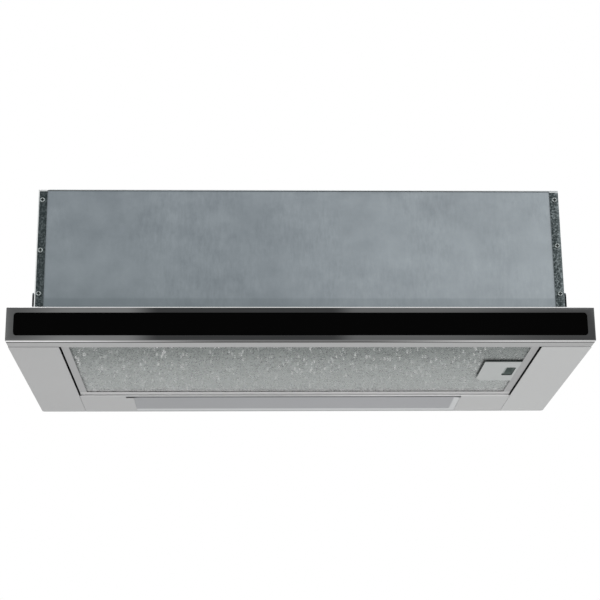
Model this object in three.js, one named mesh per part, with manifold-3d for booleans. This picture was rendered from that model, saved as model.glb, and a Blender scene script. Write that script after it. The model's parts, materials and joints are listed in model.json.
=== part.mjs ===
// A pull-out (telescopic) range hood, 60 cm wide, in millimetres with +Z up.
// A galvanised box goes up into the wall cabinet and holds the blower. Under it lies a flat casing
// with stainless side panels and a lamp panel. A tray behind the front panel slides out on ball
// slides and carries the grease filter, which swings down when its latch is pulled back.
// Y is counted here from the front panel's face into the cabinet, X to the right, Z from the
// underside. The last lines move the origin to the middle of the underside.

import * as THREE from 'three';
import { mergeVertices } from 'three/addons/utils/BufferGeometryUtils.js';
import Module from 'manifold-3d';

// ---- driving dimensions -------------------------------------------------------------------

const WIDTH = 598;            // front panel, end to end
const DEPTH = 305;            // closed, front panel face to rear wall
const HALF = WIDTH / 2;
const SHEET = 0.8;            // steel sheet of every folded piece
const GAP = 0.3;              // between pieces that touch
const RUN = 0.6;              // between pieces that pass each other

// front panel
const PANEL_HEIGHT = 36.6;
const PANEL_THICK = 4;
const PANEL_EDGE_R = 1.2;     // rounded front edges
const PANEL_CORNER_R = 0.4;
const PANEL_CHAMFER = 1.7;    // rear long edges, a groove against the beam
const GLASS_SIDE = 7.7;       // stainless left and right of the glass
const GLASS_RIM = 6.3;        // stainless above and below it
const GLASS_THICK = 3;
const GLASS_R = 3.5;
const BEAM_INSET = 0.5;       // the beam is this much shorter at each end
const BEAM_BACK = 21.7;
const BEAM_BOTTOM = 0.3;
const BEAM_LIP = 8;
const BEAM_TOP = PANEL_HEIGHT - 1.1;

// box in the cabinet
const CABINET_LEDGE = 23;     // casing beside the box, under the cabinet sides
const BOX_X = HALF - CABINET_LEDGE;
const BOX_Y = [32, DEPTH - 5];
const BOX_TOP = 176.2;
const FLANGE = 9.3;           // front flanges of the side walls
const COVER_LIP = 12;
const COVER_LIP_INSET = 12;
const SCREW_INSET = 4.4;      // from the box's side to its screws
const SCREW_Z_LEFT = [60.4, 107.9, 164.1];
const SCREW_Z_RIGHT = [60.4, 113.7, 165.4];
const SCREW_HEAD_R = 2.7;
const SCREW_HEAD = 1.7;
const SCREW_SHANK_R = 1.5;
const SCREW_LENGTH = 8;

// casing under the cabinet
const CASING_Z = 36.2;        // top of the side panels
const SIDE_PANEL_WIDTH = 53;
const PANEL_INNER_X = HALF - SIDE_PANEL_WIDTH;
const PANEL_LIP = 10;         // upturned inner edge
const REAR_CORNER_R = 3.5;
const CASING_INSET = 0.4;
const UPSTAND_OFF = 1.3;      // from each box wall to the flange beside it
const UPSTAND_HEIGHT = 25.7;  // flange up the outside of each box wall
const UPSTAND_R = 4;
const THROAT_RIM = 26;        // casing left around the opening into the box
const THROAT_FRONT_RIM = 18;
const THROAT_REAR_RIM = 16;
const THROAT_R = 6;

// lamp panel at the rear of the underside
const LAMP_PANEL_DEPTH = 76;
const LAMP_PANEL_Y = DEPTH - LAMP_PANEL_DEPTH;
const SLIT_FROM_SIDE = [51, 54.4];   // side panel to the ends of the dark slit
const SLIT_Y = [2.5, 9.4];           // from the panel's front edge
const LENS_FROM_SIDE = [60, 58.4];
const LENS_REAR_MARGIN = 3.5;
const LENS_BEVEL = 9.5;
const LENS_BEVEL_RISE = 0.5;   // the rear edge is then level with the sheet round it
const LENS_WALL = 2;
const LENS_DEPTH = 9;
const TROUGH_TOP = 30;
const TROUGH_SLOPE = [12, 24];       // height and depth where its front slopes
const TROUGH_END = 4;                // past each end of the slit
const LIGHT_COUNT = 12;
const LIGHT_BOARD = [12, 1.6];
const LIGHT_CHIP = [5, 0.8];

// pull-out tray
const SIDE_SLOT = 1.5;        // filter to side panel
const RAIL_WIDTH = 22.6;
const RAIL_Z = [11.4, 34];
const TRAY_REAR_ROOM = 3;     // tray to lamp panel
const TRAY_BACK = LAMP_PANEL_Y - TRAY_REAR_ROOM;
const TRAY_REAR_LIP = 7;
const COVER_LENGTH = 154;     // sheet over the front of the tray
const TRAY_TRAVEL = 150;

// telescopic ball slides
const SLIDE_WIDTH = 13.8;     // rail to casing flange, less the two gaps
const SLIDE_Z = [13.5, 32.5];
const SLIDE_SHEET = 1.2;
const SLIDE_FRONT = 26;
const SLIDE_REAR_ROOM = 9;
const LIP_REACH = 10.7;
const INNER_LIP_REACH = 9.1;
const BALL_R = 1.5;
const BALL_PLAY = 0.25;
const BALLS_IN_ROW = 5;
const BALL_PITCH = 10;
const CAGE_SHEET = 0.5;
const CAGE_END = 4;

// grease filter in the tray
const FILTER_X = PANEL_INNER_X - SIDE_SLOT;
const FILTER_Y = [BEAM_BACK + GAP + RUN, LAMP_PANEL_Y - RUN];
const FILTER_Z = [1.8, 10.8];
const FILTER_RIM = 6.5;
const FILTER_REAR_RIM = 10;
const TONGUE_FROM_END = 38;
const TONGUE_WIDTH = 14;
const TONGUE_REACH = 4.5;

// filter latch
const LATCH_SIZE = [39.5, 78];
const LATCH_Z = 1.4;
const LATCH_PLATE_THICK = 1.4;
const LATCH_CHAMFER = [5, 12];
const RECESS_FROM_SIDE = [9.3, 21.1];
const RECESS_HALF_Y = 16.8;
const RECESS_R = 2.5;
const LATCH_TRAVEL = 7;
const CUP_WALL = 1.2;
const CUP_OVER = 0.4;         // cup above the filter frame
const FINGER_TAB = [0.6, 3];
const NECK_WIDTH = 5;
const NECK_HALF_Y = 5;
const BOLT_THICK = 1.6;
const LUG_FROM_EDGE = [3, 5];
const SPRING_R = 1.7;
const SPRING_WIRE = 0.6;
const SPRING_TURNS = 7;

// fixed inner filter over the throat
const INNER_FILTER_THICK = 6;
const INNER_FILTER_RIM = 12;
const INNER_FILTER_LAP = 10;

// blower
const COLLAR_FROM_REAR = 95;
const COLLAR_Y = DEPTH - COLLAR_FROM_REAR;
const AXIS_AHEAD = 44;        // wheel axis in front of the collar
const AXIS_Y = COLLAR_Y - AXIS_AHEAD;
const AXIS_Z = 108;
const WHEEL_R = 50;
const WHEEL_HALF = 48;
const WHEEL_RING = [4, 2.5];
const HUB_R = 9;
const HUB_HALF = 8;
const BLADES = 28;
const BLADE_DEPTH = 9.4;
const SHAFT_R = 3;
const SHAFT_END = 2;
const SCROLL_R = 54.5;        // at the tongue
const SCROLL_GROWTH = 0.0415; // per degree round the wheel
const SCROLL_SWEEP = 285;
const SCROLL_HALF = 55;
const SCROLL_WALL = 2;
const NECK_INSET = 8;         // scroll neck inside the collar's circle
const NECK_RISE = 14;
const INLET_R = 44;
const BELL = [5, 3.6];
const MOTOR_R = 40;
const MOTOR_X = [-106, -66.3];
const MOTOR_NOSE = 3;         // bearing boss in front of the motor's flat face
const MOTOR_BOSS_R = [12, 14]; // bearing boss at its face and at its foot
const MOTOR_BACK = [4, 6, 10, 13]; // from the rear: boss, end shield, its rim, start of the stack
const MOTOR_SHIELD = 8;        // end shield's flat within the stack's radius
const MOTOR_STEP = 2;          // the stack stands proud of the shields
const MOTOR_STACK_END = 9;     // from the front shield's flat back to the stack
const VENT_DEPTH = 4;
const VENT_REACH = [0.5, 0.7]; // shares of the motor's radius
const VENT_HALF = 2;
const MOTOR_VENTS = 8;
const BRACKET_SHEET = 2;
const BRACKET_ARM = 10;
const NUT_R = 5.8;
const NUT_THICK = 4.7;

// outlet collar with its two flaps
const COLLAR_R = 60;
const COLLAR_WALL = 2;
const COLLAR_HEIGHT = 25;
const COLLAR_FLANGE = 12;
const COLLAR_LEDGE = [3.5, 1.5];
const OUTLET_LAP = 4;         // top cover's hole inside the collar
const FLAP_AXIS_Z = BOX_TOP + 13.8;
const FLAP_THICK = 1.5;
const KNUCKLE_LENGTH = 24;
const KNUCKLE_R = 3.2;
const AXLE_R = 1.6;

// electrics in the box
const TERMINAL_SIZE = [70, 34, 54];
const TERMINAL_FROM_SIDE = 28;
const TERMINAL_Z = 96;
const TERMINAL_WALL = 2;
const TERMINAL_LID = 2;
const LID_PLUG = 3;
const BUSHING_R = 7.4;
const BUSHING_BORE_R = 4;
const BUSHING_FLANGE_R = 10;
const BUSHING_Z = 122;
const BUSHING_HEAD = [3, 5.6]; // rim and end of its rounded outer face
const CAPACITOR_R = 14;
const CAPACITOR_LENGTH = 50;
const CAPACITOR_ROOM = 8;
const SWITCH_SIZE = [10, 27.5, 16];
const SWITCH_FROM_PANEL = 4.4;
const SWITCH_Z = 16;
const SWITCH_LEVER = [4, 8];
const SWITCH_FOOT = [2, 6];    // the foot runs past the body on its two sides
const SWITCH_LEVER_INSET = [3, 4];

// controls on top of the front beam
const STRIP_FROM_END = 35;
const STRIP_LENGTH = 114;
const STRIP_Y = [6.5, 20];
const STRIP_R = 2;
const STRIP_RIM = [3, 1.5];
const STRIP_DEPTH = 10;
const BOARD_THICK = 1.6;
const BUTTON_SIZE = [16, 8];
const BUTTON_PITCH = 26;
const BUTTON_PROUD = 2.2;
const BUTTON_TRAVEL = 1.6;

// ---- finishes -----------------------------------------------------------------------------

const finish = (color, roughness, metalness) => new THREE.MeshStandardMaterial({
  color, roughness, metalness, flatShading: true,
});
const stainless = finish(0xb4b6b5, 0.32, 0.95);
const darkStainless = finish(0x6f7170, 0.25, 0.95);
const galvanised = finish(0x8d989b, 0.45, 0.8);
const blackGlass = finish(0x050505, 0.06, 0);
const aluminiumMesh = finish(0xa2a6a4, 0.4, 0.9);
const aluminium = finish(0xadb1b0, 0.35, 0.9);
const zincPlated = finish(0x9aa0a2, 0.35, 0.9);
const blackPlastic = finish(0x1c1d1f, 0.5, 0);
const greyPlastic = finish(0xb9bcbc, 0.5, 0);
const whitePlastic = finish(0xe4e4e0, 0.5, 0);
const diffuser = finish(0xd2d3da, 0.5, 0);
const circuitBoard = finish(0xe9ebe6, 0.6, 0);

// ---- solids and booleans ------------------------------------------------------------------

const wasm = await Module();
wasm.setup();

const WELD = 1e-4;

// Signed volume of an indexed geometry: negative where its faces point in.
function signedVolume(positions, index) {
  let sum = 0;
  const corner = (i) => new THREE.Vector3().fromArray(positions, 3 * i);
  for (let i = 0; i < index.length; i += 3) {
    const [a, b, c] = [corner(index[i]), corner(index[i + 1]), corner(index[i + 2])];
    sum += a.dot(b.cross(c)) / 6;
  }
  return sum;
}

// Turns a closed surface into a solid that can be joined and cut.
function solid(geometry) {
  const bare = geometry.clone();
  bare.deleteAttribute('normal');
  bare.deleteAttribute('uv');
  const merged = mergeVertices(bare, WELD);
  const vertProperties = Float32Array.from(merged.attributes.position.array);
  const triVerts = Uint32Array.from(merged.index.array);
  if (signedVolume(vertProperties, triVerts) < 0) triVerts.reverse();
  return new wasm.Manifold(new wasm.Mesh({ numProp: 3, vertProperties, triVerts }));
}

const join = (...solids) => solids.reduce((whole, piece) => whole.add(piece));
const cut = (body, ...tools) => tools.reduce((rest, tool) => rest.subtract(tool), body);

function block(x, y, z) {
  const box = new THREE.BoxGeometry(x[1] - x[0], y[1] - y[0], z[1] - z[0]);
  return solid(box.translate((x[0] + x[1]) / 2, (y[0] + y[1]) / 2, (z[0] + z[1]) / 2));
}

// Extrusions of a flat outline: along X it is drawn in (Y, Z), along Y in (X, Z), along Z in (X, Y).
const TO_X = new THREE.Matrix4().set(0, 0, 1, 0, 1, 0, 0, 0, 0, 1, 0, 0, 0, 0, 0, 1);
const TO_Y = new THREE.Matrix4().set(1, 0, 0, 0, 0, 0, -1, 0, 0, 1, 0, 0, 0, 0, 0, 1);

function extruded(outline, length, settings) {
  return new THREE.ExtrudeGeometry(outline, {
    depth: length, bevelEnabled: false, curveSegments: 4, ...settings,
  });
}

function alongX(outline, x, settings) {
  const geometry = extruded(outline, x[1] - x[0], settings).applyMatrix4(TO_X);
  return solid(geometry.translate(x[0], 0, 0));
}

function alongY(outline, y, settings) {
  const geometry = extruded(outline, y[1] - y[0], settings).applyMatrix4(TO_Y);
  return solid(geometry.translate(0, y[1], 0));
}

function alongZ(outline, z, settings) {
  return solid(extruded(outline, z[1] - z[0], settings).translate(0, 0, z[0]));
}

const polygon = (points) => new THREE.Shape(points.map(([u, v]) => new THREE.Vector2(u, v)));

function roundedRect(u, v, r) {
  const shape = new THREE.Shape();
  const corners = [
    [u[1] - r, v[0] + r, -90], [u[1] - r, v[1] - r, 0], [u[0] + r, v[1] - r, 90], [u[0] + r, v[0] + r, 180],
  ];
  shape.moveTo(u[0] + r, v[0]);
  for (const [cu, cv, start] of corners) {
    const from = THREE.MathUtils.degToRad(start);
    shape.absarc(cu, cv, r, from, from + Math.PI / 2, false);
  }
  return shape;
}

// Outline of a folded sheet: a line of folds, thickened by SHEET to its left.
function folded(points, thick = SHEET) {
  const line = points.map(([u, v]) => new THREE.Vector2(u, v));
  const normals = line.slice(1).map((p, i) => {
    const along = p.clone().sub(line[i]).normalize();
    return new THREE.Vector2(-along.y, along.x);
  });
  const offset = line.map((p, i) => {
    const before = normals[Math.max(i - 1, 0)];
    const after = normals[Math.min(i, normals.length - 1)];
    const mitre = before.clone().add(after);
    mitre.multiplyScalar(thick * 2 / mitre.lengthSq());
    return p.clone().add(mitre);
  });
  return new THREE.Shape([...line, ...offset.reverse()]);
}

// A turned piece: profile points are [radius, distance along the axis].
function turned(profile, axis, centre, sides = 32) {
  const closed = profile.every(([r]) => r > 0) ? [...profile, profile[0]] : profile;
  const geometry = new THREE.LatheGeometry(closed.map(([r, h]) => new THREE.Vector2(r, h)), sides);
  const up = new THREE.Vector3(0, 1, 0);
  geometry.applyQuaternion(new THREE.Quaternion().setFromUnitVectors(up, axis));
  return solid(geometry.translate(...centre));
}

const AXIS = {
  x: new THREE.Vector3(1, 0, 0),
  y: new THREE.Vector3(0, 1, 0),
  z: new THREE.Vector3(0, 0, 1),
};

const rod = (r, length, axis, centre, sides = 16) => turned(
  [[0, 0], [r, 0], [r, length], [0, length]], axis, centre, sides,
);

const mirrored = (body) => body.mirror([1, 0, 0]);

// ---- the assembly -------------------------------------------------------------------------

const hood = new THREE.Group();
const assembly = new THREE.Group();
assembly.position.y = -DEPTH / 2;
hood.add(assembly);

function add(name, body, material) {
  const { vertProperties, triVerts } = body.getMesh();
  const indexed = new THREE.BufferGeometry();
  indexed.setAttribute('position', new THREE.BufferAttribute(vertProperties, 3));
  indexed.setIndex(new THREE.BufferAttribute(triVerts, 1));
  const geometry = indexed.toNonIndexed();
  geometry.computeVertexNormals();
  const mesh = new THREE.Mesh(geometry, material);
  mesh.name = name;
  assembly.add(mesh);
}

// Adds NAME_left and NAME_right from the right-hand piece.
function addPair(name, right, material) {
  add(`${name}_left`, mirrored(right), material);
  add(`${name}_right`, right, material);
}

const across = (half) => [-half, half];
const about = (middle, half) => [middle - half, middle + half];
const grown = ([low, high], by) => [low - by, high + by];
const THROUGH = 1;            // how far a cutting tool runs past what it cuts

// ---- front panel: stainless bezel, black glass, folded beam behind -------------------------

const glassHalf = HALF - GLASS_SIDE;
const glassZ = [GLASS_RIM, PANEL_HEIGHT - GLASS_RIM];

function frontBezel() {
  const r = PANEL_EDGE_R;
  const face = roundedRect([-HALF + r, HALF - r], [r, PANEL_HEIGHT - r], PANEL_CORNER_R);
  const rounded = alongY(face, [r, 2 * PANEL_THICK], {
    bevelEnabled: true, bevelSize: r, bevelThickness: r, bevelSegments: 3, curveSegments: 2,
  });
  const low = PANEL_THICK - PANEL_CHAMFER;
  const section = polygon([
    [0, 0], [low, 0], [PANEL_THICK, PANEL_CHAMFER], [PANEL_THICK, PANEL_HEIGHT - PANEL_CHAMFER],
    [low, PANEL_HEIGHT], [0, PANEL_HEIGHT],
  ]);
  const slab = alongX(section, across(HALF));
  const pocket = roundedRect(across(glassHalf), glassZ, GLASS_R);
  return cut(rounded.intersect(slab), alongY(pocket, [-THROUGH, GLASS_THICK + GAP]));
}

function glassStrip() {
  const face = roundedRect(across(glassHalf - GAP), grown(glassZ, -GAP), GLASS_R - GAP);
  return alongY(face, [GAP / 2, GLASS_THICK]);
}

const stripX = [HALF - STRIP_FROM_END - STRIP_LENGTH, HALF - STRIP_FROM_END];
const stripBodyX = grown(stripX, -STRIP_RIM[0]);
const stripBodyY = grown(STRIP_Y, -STRIP_RIM[1]);
const stripBottom = BEAM_TOP - STRIP_DEPTH;
const stripTop = PANEL_HEIGHT - GAP;

// A box section with an open seam at the back; the controls go in through its upper flange.
function frontBeam() {
  const front = PANEL_THICK + GAP;
  const profile = folded([
    [BEAM_BACK, BEAM_BOTTOM + BEAM_LIP], [BEAM_BACK, BEAM_BOTTOM], [front, BEAM_BOTTOM],
    [front, BEAM_TOP], [BEAM_BACK, BEAM_TOP], [BEAM_BACK, BEAM_TOP - BEAM_LIP],
  ], -SHEET);
  const half = HALF - BEAM_INSET;
  const ends = [-half, half - SHEET].map((x) => block(
    [x, x + SHEET], [front, BEAM_BACK], [BEAM_BOTTOM, BEAM_TOP],
  ));
  const window = block(
    grown(stripBodyX, GAP), grown(stripBodyY, GAP), [BEAM_TOP - SHEET - THROUGH, BEAM_TOP + THROUGH],
  );
  return cut(join(alongX(profile, across(half)), ...ends), window);
}

add('front_bezel', frontBezel(), darkStainless);
add('glass_strip', glassStrip(), blackGlass);
add('front_beam', frontBeam(), stainless);

// ---- controls: strip with push buttons over a small board ----------------------------------

const buttonNames = ['button_low', 'button_medium', 'button_high', 'button_light'];
const stripMid = [(stripX[0] + stripX[1]) / 2, (STRIP_Y[0] + STRIP_Y[1]) / 2];
const boardTop = stripBottom - GAP;

function buttonOutline(i, extra) {
  const x = stripMid[0] + (i - (buttonNames.length - 1) / 2) * BUTTON_PITCH;
  return roundedRect(
    about(x, BUTTON_SIZE[0] / 2 + extra), about(stripMid[1], BUTTON_SIZE[1] / 2 + extra), 1 + extra,
  );
}

function controlStrip() {
  const plate = alongZ(
    roundedRect(stripX, STRIP_Y, STRIP_R), [BEAM_TOP + GAP, stripTop], { curveSegments: 3 },
  );
  const body = block(stripBodyX, stripBodyY, [stripBottom, BEAM_TOP + 2 * GAP]);
  const wells = buttonNames.map((name, i) => alongZ(
    buttonOutline(i, GAP), [stripBottom - THROUGH, stripTop + THROUGH], { curveSegments: 2 },
  ));
  return cut(join(plate, body), ...wells);
}

add('control_strip', controlStrip(), blackPlastic);
add('switch_board', block(stripBodyX, stripBodyY, [boardTop - BOARD_THICK, boardTop]), circuitBoard);
buttonNames.forEach((name, i) => {
  const height = [boardTop + BUTTON_TRAVEL + GAP, stripTop + BUTTON_PROUD];
  add(name, alongZ(buttonOutline(i, 0), height, { curveSegments: 2 }), blackPlastic);
});

// ---- pull-out tray: rails, cross walls and the sheet over it --------------------------------

const railInner = PANEL_INNER_X - RUN;
const railOuter = railInner + RAIL_WIDTH;
const trayFront = BEAM_BACK + GAP;
const ledgeTop = RAIL_Z[0] + SHEET;

function trayFrame() {
  const [low, high] = RAIL_Z;
  const railProfile = folded([
    [railInner, low], [railOuter, low], [railOuter, high], [railInner, high],
  ]);
  const rail = alongY(railProfile, [trayFront, TRAY_BACK]);
  const set = SHEET / 4;      // the cross walls are let into the rails by this much
  const width = across(railOuter - set);
  const [bottom, top] = grown(RAIL_Z, -set);
  const frontWall = block(width, [trayFront + set, trayFront + set + SHEET], [bottom, top]);
  const [lip, back] = [TRAY_BACK - TRAY_REAR_LIP, TRAY_BACK - set];
  const rearProfile = folded([[lip, bottom], [back, bottom], [back, top], [lip, top]]);
  return join(rail, mirrored(rail), frontWall, alongX(rearProfile, width));
}

const coverLow = RAIL_Z[1] + GAP;
add('tray_frame', trayFrame(), zincPlated);
add('tray_cover', block(
  across(railOuter), [trayFront, trayFront + COVER_LENGTH], [coverLow, coverLow + SHEET],
), galvanised);

// ---- telescopic ball slides -----------------------------------------------------------------

const slideInnerX = railOuter + GAP;
const slideOuterX = slideInnerX + SLIDE_WIDTH;
const slideWebX = slideOuterX + GAP;
const slideFar = DEPTH - SLIDE_REAR_ROOM;
const ballZ = [
  SLIDE_Z[0] + SLIDE_SHEET + BALL_PLAY + BALL_R, SLIDE_Z[1] - SLIDE_SHEET - BALL_PLAY - BALL_R,
];
const innerZ = grown(ballZ, -BALL_R - BALL_PLAY);
const ballX = slideInnerX + INNER_LIP_REACH - 2 * BALL_R;

function slideOuter() {
  const lip = slideOuterX - LIP_REACH;
  const profile = folded([
    [lip, SLIDE_Z[0]], [slideOuterX, SLIDE_Z[0]], [slideOuterX, SLIDE_Z[1]], [lip, SLIDE_Z[1]],
  ], SLIDE_SHEET);
  return alongY(profile, [SLIDE_FRONT, slideFar]);
}

function slideInner() {
  const lip = slideInnerX + INNER_LIP_REACH;
  const profile = folded([
    [lip, innerZ[1]], [slideInnerX, innerZ[1]], [slideInnerX, innerZ[0]], [lip, innerZ[0]],
  ], SLIDE_SHEET);
  return alongY(profile, [SLIDE_FRONT, TRAY_BACK]);
}

// The cage is a thin channel round the inner slide's lips. It travels half as far as the tray.
function ballCage() {
  const length = (BALLS_IN_ROW - 1) * BALL_PITCH + 2 * CAGE_END;
  const start = SLIDE_FRONT + THROUGH + TRAY_TRAVEL / 2;
  const web = slideInnerX + INNER_LIP_REACH + CAGE_SHEET + RUN;
  const arm = ballX - BALL_R - CAGE_SHEET;
  const [low, high] = grown(ballZ, CAGE_SHEET / 2);
  const profile = folded([[arm, high], [web, high], [web, low], [arm, low]], -CAGE_SHEET);
  const balls = ballZ.flatMap((z) => Array.from({ length: BALLS_IN_ROW }, (unused, i) => {
    const y = start + CAGE_END + i * BALL_PITCH;
    return solid(new THREE.SphereGeometry(BALL_R, 6, 4).translate(ballX, y, z));
  }));
  return join(alongY(profile, [start, start + length]), ...balls);
}

addPair('slide_outer', slideOuter(), zincPlated);
addPair('slide_inner', slideInner(), zincPlated);
addPair('ball_cage', ballCage(), zincPlated);

// ---- grease filters: channel frame round a pack of expanded mesh ----------------------------

function channelFrame(x, y, z, rims) {
  const opening = [grown(x, -rims.side), [y[0] + rims.front, y[1] - rims.rear]];
  const groove = block(grown(x, -SHEET), grown(y, -SHEET), grown(z, -SHEET));
  return cut(block(x, y, z), block(...opening, grown(z, THROUGH)), groove);
}

function packIn(x, y, z) {
  const inset = -SHEET - GAP;
  return block(grown(x, inset), grown(y, inset), grown(z, inset));
}

// Latch geometry, shared by the plate, the slide and the hole in the mesh.
const latchMidY = (FILTER_Y[0] + FILTER_Y[1]) / 2;
const latchRight = FILTER_X - FILTER_RIM - GAP;
const latchPlateX = [latchRight - LATCH_SIZE[0], latchRight];
const plateTop = LATCH_Z + LATCH_PLATE_THICK;
const recessX = [FILTER_X - RECESS_FROM_SIDE[1], FILTER_X - RECESS_FROM_SIDE[0]];
const recessY = about(latchMidY, RECESS_HALF_Y);
const cupTop = FILTER_Z[1] + CUP_OVER;
const cupX = [recessX[0] - LATCH_TRAVEL - CUP_WALL - THROUGH, recessX[1] + CUP_WALL];
const cupY = grown(recessY, CUP_WALL);
const tabX = [recessX[0] + FINGER_TAB[0], recessX[0] + FINGER_TAB[1]];
const neckX = [tabX[0], tabX[0] + NECK_WIDTH];
const neckY = about(latchMidY, NECK_HALF_Y);
const boltZ = [ledgeTop + GAP, ledgeTop + GAP + BOLT_THICK];
const lugX = [latchPlateX[0] + LUG_FROM_EDGE[0], latchPlateX[0] + LUG_FROM_EDGE[1]];
const springX = [lugX[1] + GAP + SPRING_WIRE / 2, neckX[0] - GAP - SPRING_WIRE / 2];
const springZ = boltZ[1] + GAP;
const lugTop = springZ + SPRING_R + GAP;

// Two tongues at the left hook over the tray's rail, and the filter swings down about that edge.
function filterFrame() {
  const frame = channelFrame(across(FILTER_X), FILTER_Y, FILTER_Z, {
    side: FILTER_RIM, front: FILTER_RIM, rear: FILTER_REAR_RIM,
  });
  const root = -FILTER_X + SHEET;
  const over = ledgeTop + GAP + SHEET;
  const hook = folded([
    [root, FILTER_Z[1] - SHEET], [root, over], [-FILTER_X - TONGUE_REACH, over],
  ]);
  const tongues = grown(FILTER_Y, -TONGUE_FROM_END).map((y) => alongY(hook, about(y, TONGUE_WIDTH / 2)));
  return join(frame, ...tongues);
}

function filterMesh() {
  const hole = block([lugX[0] - GAP, FILTER_X], grown(cupY, GAP), [0, CASING_Z]);
  return cut(packIn(across(FILTER_X), FILTER_Y, FILTER_Z), hole);
}

add('filter_frame', filterFrame(), aluminium);
add('filter_mesh', filterMesh(), aluminiumMesh);

// ---- filter latch: plate with finger recess, sliding bolt, spring ---------------------------

function latchPlate() {
  const [x0, x1] = latchPlateX;
  const [y0, y1] = about(latchMidY, LATCH_SIZE[1] / 2);
  const plate = alongZ(polygon([
    [x0, y0], [x1, y0], [x1, y1], [x0 + LATCH_CHAMFER[0], y1], [x0, y1 - LATCH_CHAMFER[1]],
  ]), [LATCH_Z, plateTop]);
  const lap = LATCH_PLATE_THICK / 3;
  const cup = block(cupX, cupY, [plateTop - lap, cupTop]);
  const recess = alongZ(roundedRect(recessX, recessY, RECESS_R), [0, plateTop + lap]);
  const inside = block(grown(cupX, -CUP_WALL), recessY, [plateTop - lap - THROUGH, cupTop - CUP_WALL]);
  const roofed = inside.intersect(block(cupX, cupY, [plateTop, cupTop]));
  const slotY = grown(neckY, GAP);
  const slotX = [neckX[0] - LATCH_TRAVEL - GAP, neckX[1] + GAP];
  const slot = block(slotX, slotY, [cupTop - CUP_WALL - THROUGH, cupTop + THROUGH]);
  const shelf = block([lugX[0], cupX[0] + CUP_WALL], slotY, [cupTop - CUP_WALL, cupTop]);
  const lug = block(lugX, slotY, [plateTop - lap, lugTop]);
  return cut(join(plate, cup, shelf, lug), roofed, recess, slot);
}

function latchSlide() {
  const fingerTab = block(tabX, grown(recessY, -2), [plateTop + GAP, cupTop - CUP_WALL - GAP]);
  const neck = block(neckX, neckY, [cupTop - CUP_WALL - 2, lugTop]);
  const tip = railInner - GAP;
  const bolt = polygon([
    [neckX[0], boltZ[0]], [tip, boltZ[0]], [tip, boltZ[0] + BOLT_THICK / 3],
    [tip - BOLT_THICK, boltZ[1]], [neckX[0], boltZ[1]],
  ]);
  return join(fingerTab, neck, alongY(bolt, neckY));
}

// A coil of round wire wound about an axis along X.
class CoilCurve extends THREE.Curve {
  getPoint(t) {
    const angle = 2 * Math.PI * SPRING_TURNS * t;
    return new THREE.Vector3(
      THREE.MathUtils.lerp(springX[0], springX[1], t),
      latchMidY + SPRING_R * Math.cos(angle),
      springZ + SPRING_R * Math.sin(angle),
    );
  }
}

// Points of a regular polygon about a centre.
const ring = (count, r, u = 0, v = 0) => Array.from({ length: count }, (unused, i) => [
  u + r * Math.cos(2 * Math.PI * i / count), v + r * Math.sin(2 * Math.PI * i / count),
]);

function latchSpring() {
  return solid(new THREE.ExtrudeGeometry(polygon(ring(5, SPRING_WIRE / 2)), {
    extrudePath: new CoilCurve(), steps: 8 * SPRING_TURNS, bevelEnabled: false,
  }));
}

add('latch_plate', latchPlate(), greyPlastic);
add('latch_slide', latchSlide(), greyPlastic);
add('latch_spring', latchSpring(), zincPlated);

// ---- casing: side panels, upper plate with upstands, lamp panel ------------------------------

const panelFront = BEAM_BACK + GAP + RUN;
const plateLow = CASING_Z + GAP;
const casingTop = plateLow + SHEET;
const upstandX = [BOX_X + UPSTAND_OFF, BOX_X + UPSTAND_OFF + SHEET];
const throatX = BOX_X - THROAT_RIM;
const throatY = [BOX_Y[0] + THROAT_FRONT_RIM, BOX_Y[1] - THROAT_REAR_RIM];

// A channel folded from stainless sheet, open above, with a rounded corner at the rear.
function sidePanel() {
  const plan = (inset, inner, front) => {
    const [x1, y1] = [HALF - inset, DEPTH - inset];
    const r = REAR_CORNER_R - inset;
    const shape = new THREE.Shape();
    shape.moveTo(inner, front);
    shape.lineTo(x1, front);
    shape.lineTo(x1, y1 - r);
    shape.absarc(x1 - r, y1 - r, r, 0, Math.PI / 2, false);
    shape.lineTo(inner, y1);
    return shape;
  };
  const outside = alongZ(plan(0, PANEL_INNER_X, panelFront), [0, CASING_Z]);
  const inside = alongZ(
    plan(SHEET, PANEL_INNER_X + SHEET, panelFront - THROUGH), [SHEET, CASING_Z + THROUGH],
  );
  const aboveLip = block(
    grown([PANEL_INNER_X, PANEL_INNER_X + SHEET], THROUGH), [panelFront - THROUGH, DEPTH - SHEET],
    [PANEL_LIP, CASING_Z + THROUGH],
  );
  return cut(outside, inside, aboveLip);
}

// The plate closes the side panels above and carries the box, the inner filter and the slides.
function lowerCasing() {
  const plate = block(
    across(HALF - CASING_INSET), [panelFront + THROUGH, DEPTH - CASING_INSET], [plateLow, casingTop],
  );
  const throat = alongZ(
    roundedRect(across(throatX), throatY, THROAT_R), grown([plateLow, casingTop], THROUGH),
  );
  const along = grown(BOX_Y, -THROUGH);
  const foot = plateLow + SHEET / 2;
  const rounded = alongX(
    roundedRect(along, [foot, casingTop + UPSTAND_HEIGHT], UPSTAND_R), upstandX,
  );
  const squareFoot = block(upstandX, along, [foot, foot + 2 * UPSTAND_R]);
  const web = block(
    [slideWebX, slideWebX + SHEET], [SLIDE_FRONT, slideFar], [SLIDE_Z[0] - THROUGH, foot],
  );
  const side = join(rounded, squareFoot, web);
  return join(cut(plate, throat), side, mirrored(side));
}

addPair('side_panel', sidePanel(), stainless);
add('lower_casing', lowerCasing(), galvanised);

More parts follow.
